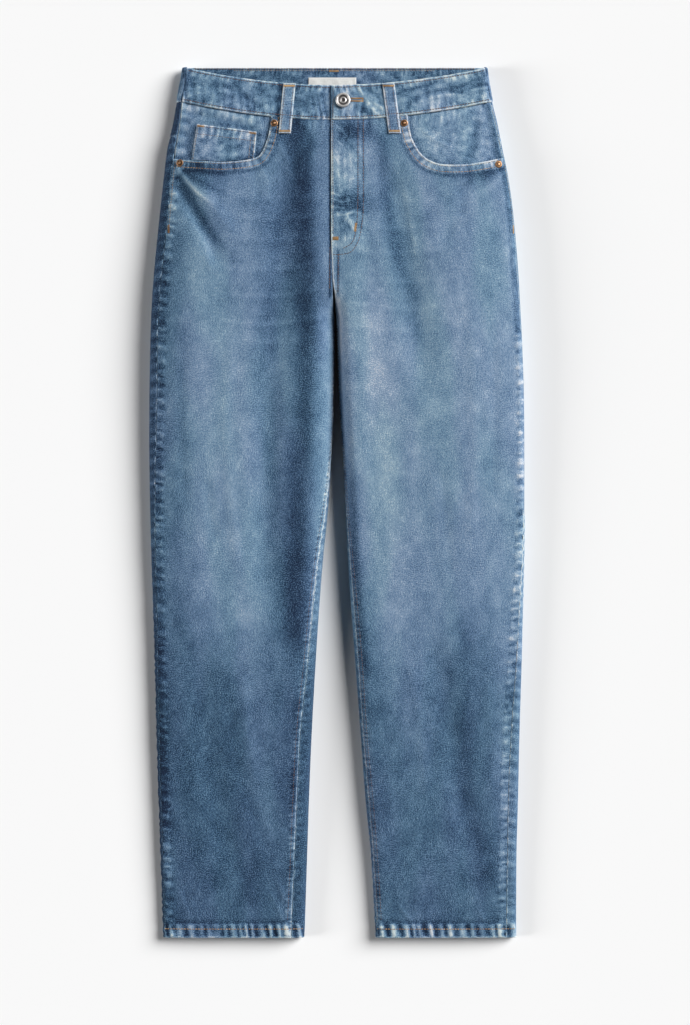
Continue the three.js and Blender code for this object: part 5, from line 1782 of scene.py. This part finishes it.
class Threads:
    """All stitches, laid on the cloth under them and joined by thread."""

    RINGS = ((-0.5, 0.5, -0.55), (-0.4, 0.95, -0.1), (0.0, 1.06, 0.12),
             (0.4, 0.95, -0.1), (0.5, 0.5, -0.55))
    SIDES = 5
    NEEDLE_START = 0.09
    PITCH = 3.2
    TACK_PITCH, TACK_RADIUS = 0.55, 0.3
    SUNK = 0.7

    def __init__(self) -> None:
        """Makes the shape of one stitch and an empty list for each thread."""
        turn = np.linspace(0, math.tau, self.SIDES, endpoint=False)
        self.shape = np.array([(place, width * math.cos(angle), width * math.sin(angle) + sink)
                               for place, width, sink in self.RINGS for angle in turn])
        index = np.arange(len(self.shape)).reshape(len(self.RINGS), self.SIDES)
        a, b = index[:-1], index[1:]
        a2, b2 = np.roll(a, -1, 1), np.roll(b, -1, 1)
        fans = [(ring[0], *pair) for ring, way in ((index[0], -1), (index[-1], 1))
                for pair in [(ring[i], ring[i + 1])[::way] for i in range(1, self.SIDES - 1)]]
        self.faces = np.concatenate([np.stack([a, a2, b2], -1).reshape(-1, 3),
                                     np.stack([a, b2, b], -1).reshape(-1, 3), np.array(fans)])
        self.sewn: dict[Thread, list[Array]] = {thread: [] for thread in Thread}
        self.random = np.random.default_rng(7)

    def spot(self, x: float, y: float, side: Side) -> tuple[Vector, Vector] | None:
        """Where a needle from above, or from under the back, meets the cloth, and the cloth's direction."""
        graph = bpy.context.evaluated_depsgraph_get()
        origin = (x * MM, y * MM, side.value * self.NEEDLE_START)
        hit, place, normal, *_ = bpy.context.scene.ray_cast(graph, origin, (0, 0, -side.value))
        return (place / MM, normal) if hit else None

    def stitch(self, thread: Thread, x: float, y: float, heading: Plan, length: float, radius: float,
               side: Side) -> None:
        """Lays one stitch on the cloth."""
        found = self.spot(x, y, side)
        if found is None:
            return
        place, up = np.array(found[0]), np.array(found[1])
        if up[2] * side.value < 0:
            up = -up
        if side is Side.BACK:
            place = place - self.SUNK * radius * up
        along = np.array([*heading, 0.0])
        along -= up * along.dot(up)
        along /= np.linalg.norm(along)
        beside = np.cross(up, along)
        shape = self.shape * (length, radius, radius)
        self.sewn[thread].append(place + shape[:, :1] * along + shape[:, 1:2] * beside + shape[:, 2:] * up)

    def row(self, thread: Thread, path: Path, side: Side = Side.FRONT, length: float = 2.6,
            radius: float = 0.36) -> None:
        """Row of stitches along a path.

        Args:
            thread: its thread.
            path: its line in plan.
            side: the side that it is on.
            length: length of a stitch.
            radius: radius of the thread.
        """
        count = max(2, round(path.lengths[-1] / self.PITCH))
        lengths = (np.arange(count) + 0.5) * path.lengths[-1] / count
        spots, ahead = path.at(lengths), path.at(lengths + 0.6)
        behind = path.at(lengths - 0.6)
        for (x, y), heading in zip(spots, ahead - behind):
            turn = self.random.normal(0, 0.05)
            heading = heading / np.linalg.norm(heading)
            heading = (heading[0] - turn * heading[1], heading[1] + turn * heading[0])
            self.stitch(thread, x, y, heading, length * self.random.uniform(0.92, 1.06), radius, side)

    def tack(self, middle: Plan, heading: Plan, length: float, width: float,
             side: Side = Side.FRONT) -> None:
        """Bar tack: tight stitches across a short line.

        Args:
            middle: its middle.
            heading: the direction of its line.
            length: length of the line.
            width: length of the stitches across it.
            side: the side that it is on.
        """
        unit = np.array(heading) / math.hypot(*heading)
        cross = (-unit[1], unit[0])
        for share in np.linspace(-0.5, 0.5, max(3, round(length / self.TACK_PITCH))):
            x, y = np.array(middle) + unit * share * length
            across = width * self.random.uniform(0.9, 1.08)
            self.stitch(Thread.ORANGE, x, y, cross, across, self.TACK_RADIUS, side)

    def pieces(self, finishes: Finishes) -> None:
        """Joins the stitches of each thread into one piece."""
        for thread, material, slot in ((Thread.TAN, finishes.tan, "thread_tan"),
                                       (Thread.BROWN, finishes.brown, "thread_tan"),
                                       (Thread.ORANGE, finishes.orange, "thread_orange")):
            shapes = self.sewn[thread]
            faces = np.concatenate([self.faces + i * len(self.shape) for i in range(len(shapes))])
            piece = made(f"stitches_{thread.value}", np.concatenate(shapes), faces, (material,))
            dressed(piece, slot)


class Needlework:
    """Rows of stitches on the panels and bands."""

    INNER_J = ((23.4, 440), (23.4, 380), (23.2, 345), (21.8, 316), (17.1, 297.5), (6.0, 289.9))
    OUTER_J = ((29.6, 439), (29.6, 390), (29.6, 342), (28.4, 322), (24.1, 299.6), (15.5, 286.4),
               (2.9, 283.2), (-5.6, 283.2))

    def __init__(self, threads: Threads) -> None:
        """Keeps the threads."""
        self.threads = threads

    @staticmethod
    def beside(half: Half, distance: float, low: float, high: float, inner: bool) -> Path:
        """Line on the front at a distance along the cloth from the side seam or the inseam."""
        rows = np.arange(low, high, 3.0)
        points, widths = half.front_grid(rows, ACROSS_FRONT)
        lines = []
        for line, width in zip(points, widths):
            at = width - distance if inner else distance
            lines.append([np.interp(at, ACROSS_FRONT * width, line[:, k]) for k in (0, 1)])
        return Path(lines)

    def leg(self, leg: Leg) -> None:
        """Rows of one leg's seams, hem and pocket mouth."""
        half, row = leg.half, self.threads.row
        way = half.inward
        side = self.beside(half, 2.4, 313, 392, False)
        row(Thread.TAN, side)
        self.threads.tack(tuple(side.points[0]), (0, 1), 9, 3)
        inseams = (1.8, 6.2) if half is LEFT else (4.6,)
        for distance in inseams:
            row(Thread.BROWN, self.beside(half, distance, HEM + 20, CROTCH_LOW, True), length=2.3)
        level = HEM + 10.3
        for side, trim in ((Side.FRONT, 1.6), (Side.BACK, 6.0)):
            ends = (half.outer(level) + trim * way, half.inner(level) - trim * way)
            row(Thread.ORANGE, Path([(x, level) for x in ends]), side, radius=0.5)
        for thread, distance in ((Thread.TAN, 1.9), (Thread.ORANGE, 8.4)):
            line = leg.mouth.shifted(distance * way).between(
                lambda x, y: (y < WAIST_SEAM - 0.6 - half.dip(x, 455.0))
                & (np.abs(x) < abs(half.outseam(400)) - 1.4))
            row(thread, line)

    def fly(self) -> None:
        """Curved double row of the fly, its bar tacks and the rows of the seam below it."""
        for line in (self.INNER_J, self.OUTER_J):
            self.threads.row(Thread.BROWN, Path.spline(line), radius=0.44)
        self.threads.tack((20.7, 314.2), (0.12, 1), 9.5, 3.2)
        self.threads.tack((-2.2, 301.5), (1, 0), 6.4, 4.6)
        for x, low, high in ((-9.0, 244, 292), (0.6, 240, 284)):
            self.threads.row(Thread.BROWN, Path(((x, low), (x + 0.4, high))), radius=0.5)
        self.threads.row(Thread.BROWN, Path(((-5.0, 306), (-5.4, WAIST_SEAM - 4))), radius=0.4)

    def bands(self) -> None:
        """Rows along the waistband, inside and out, and the buttonhole."""
        row = self.threads.row
        for half in (RIGHT, LEFT):
            way = half.inward
            for level in (WAIST_SEAM + 2.6, WAIST_TOP - 2.8):
                x = np.linspace(half.outseam(level) + 1.5 * way, CENTRE_X - 2.5 * way, 90)
                line = half.front_point(x, level)
                row(Thread.BROWN, Path(line[:, :2]), radius=0.55)
                ends = (half.outer(level) + 9 * way, CENTRE_X)
                row(Thread.TAN, Path([(x, level) for x in ends]), Side.BACK)
        end = LEFT.front_point(-5.0, np.array([WAIST_SEAM + 3, WAIST_TOP - 3]))[:, :2]
        row(Thread.BROWN, Path(end))
        row(Thread.TAN, Path(((-120, WAIST_TOP - 3.2), (112, WAIST_TOP - 3.2))))
        row(Thread.BROWN, Path(((-165, WAIST_TOP - 1.2), (158, WAIST_TOP - 1.2))), radius=0.8)
        self.threads.tack((-4.0, 496.5), (1, 0), 11, 2.4)
        for offset in (-1.5, 1.5):
            self.threads.tack((22.0, 461.2 + offset), (1, 0), 13.5, 2.2)
        self.threads.tack((29.0, 461.2), (0, 1), 4.4, 2.0)

    def seat(self) -> None:
        """Double rows of the yoke seams and of the seam at centre back."""
        for half in (RIGHT, LEFT):
            for offset in (2.2, 8.2):
                heights = yoke_seam(ACROSS_BACK)[None, :] + offset
                spots, _ = half.back_spots(heights, ACROSS_BACK)
                low = spots[0][spots[0][:, 2] < 4.0]
                self.threads.row(Thread.TAN, Path(low[:, :2]), Side.BACK)
        for offset in (2.4, 8.6):
            x = CENTRE_X + offset
            self.threads.row(Thread.TAN, Path(((x, 250), (x, WAIST_SEAM - 4))), Side.BACK)


@dataclass(frozen=True)
class Sun:
    """Distant soft light, with its width, its tilt from straight above and its bearing in degrees."""

    name: str
    strength: float
    angle: float
    tilt: float
    bearing: float

    def build(self) -> None:
        """Adds the light."""
        sun = bpy.data.objects.new(self.name, bpy.data.lights.new(self.name, "SUN"))
        sun.data.energy = self.strength
        sun.data.angle = math.radians(self.angle)
        sun.rotation_euler = (0, math.radians(self.tilt), math.radians(self.bearing))
        bpy.context.scene.collection.objects.link(sun)


@dataclass(frozen=True)
class Studio:
    """White floor, light from the upper right, and the camera straight above."""

    middle: Plan = (8.6, -11.5)
    distance: float = 4.512
    lens: float = 137.6
    floor_tone: float = 0.92
    suns: tuple[Sun, ...] = (Sun("key_sun", 4.86, 38, 57, 28), Sun("fill_sun", 1.70, 22, 72, 185))
    sky_strength: float = 0.018

    def build(self) -> None:
        """Sets up floor, sun, sky and camera."""
        size = 40.0
        corners = np.array([(-1, -1), (1, -1), (1, 1), (-1, 1)]) * size / 2
        points = np.concatenate([corners, np.zeros((4, 1))], axis=1) / MM
        g = Graph("white_floor")
        tone = (self.floor_tone, self.floor_tone, self.floor_tone, 1)
        paper = g.surface({"Base Color": tone, "Roughness": 0.95, "Specular IOR Level": 0.05})
        floor = made("floor", points, np.array([[0, 1, 2, 3]]), (paper,))
        scene = bpy.context.scene
        for sun in self.suns:
            sun.build()
        scene.world = bpy.data.worlds.new("sky")
        scene.world.use_nodes = True
        sky = scene.world.node_tree.nodes["Background"]
        sky.inputs["Color"].default_value = (1, 1, 1, 1)
        sky.inputs["Strength"].default_value = self.sky_strength
        scene.view_settings.view_transform = "Standard"
        camera = bpy.data.objects.new("camera", bpy.data.cameras.new("camera"))
        camera.data.sensor_width = 36
        camera.data.lens = self.lens
        camera.location = (self.middle[0] * MM, self.middle[1] * MM, self.distance)
        scene.collection.objects.link(camera)
        scene.camera = camera


def main() -> None:
    """Builds the jeans from the panels to the threads, then the studio."""
    finishes, threads = Finishes(), Threads()
    needlework = Needlework(threads)
    legs = (Leg(RIGHT, RIGHT_WASH_AND_SHADE, MOUTH_RIGHT, -66, finishes),
            Leg(LEFT, LEFT_WASH_AND_SHADE, MOUTH_LEFT, 70, finishes))
    for leg in legs:
        for build in (leg.back, leg.yoke, leg.hem, leg.facing, leg.front):
            build()
    band = Waistband(finishes)
    for build in (band.back, band.right, band.left):
        build()
    FLY_SHIELD.piece("denim_inside", finishes.inside)
    ZIP_TAPE.piece("zip_tape", finishes.tape)
    bpy.context.view_layer.update()
    for leg in legs:
        needlework.leg(leg)
    needlework.fly()
    needlework.bands()
    needlework.seat()

    coin = CoinPocket()
    coin.piece(finishes, legs[0])
    pockets = [BackPocket(f"back_pocket_{half.name}", CENTRE_X - half.inward * POCKET_APART)
               for half in (RIGHT, LEFT)]
    for pocket in pockets:
        pocket.piece(finishes)
    for loop in FRONT_LOOPS:
        loop.piece(finishes, Side.FRONT)
    for loop in BACK_LOOPS:
        loop.piece(finishes, Side.BACK)
    bpy.context.view_layer.update()
    coin.sew(threads)
    for pocket in pockets:
        pocket.sew(threads)
    for loop in FRONT_LOOPS:
        loop.sew(threads, Side.FRONT)
    for loop in BACK_LOOPS:
        loop.sew(threads, Side.BACK)
    threads.pieces(finishes)
    Label().piece(finishes)
    BUTTON.piece("button_metal", finishes.silver)
    for rivet in RIVETS:
        rivet.piece("rivet_copper", finishes.copper)

    Studio().build()


if __name__ == "__main__":
    main()
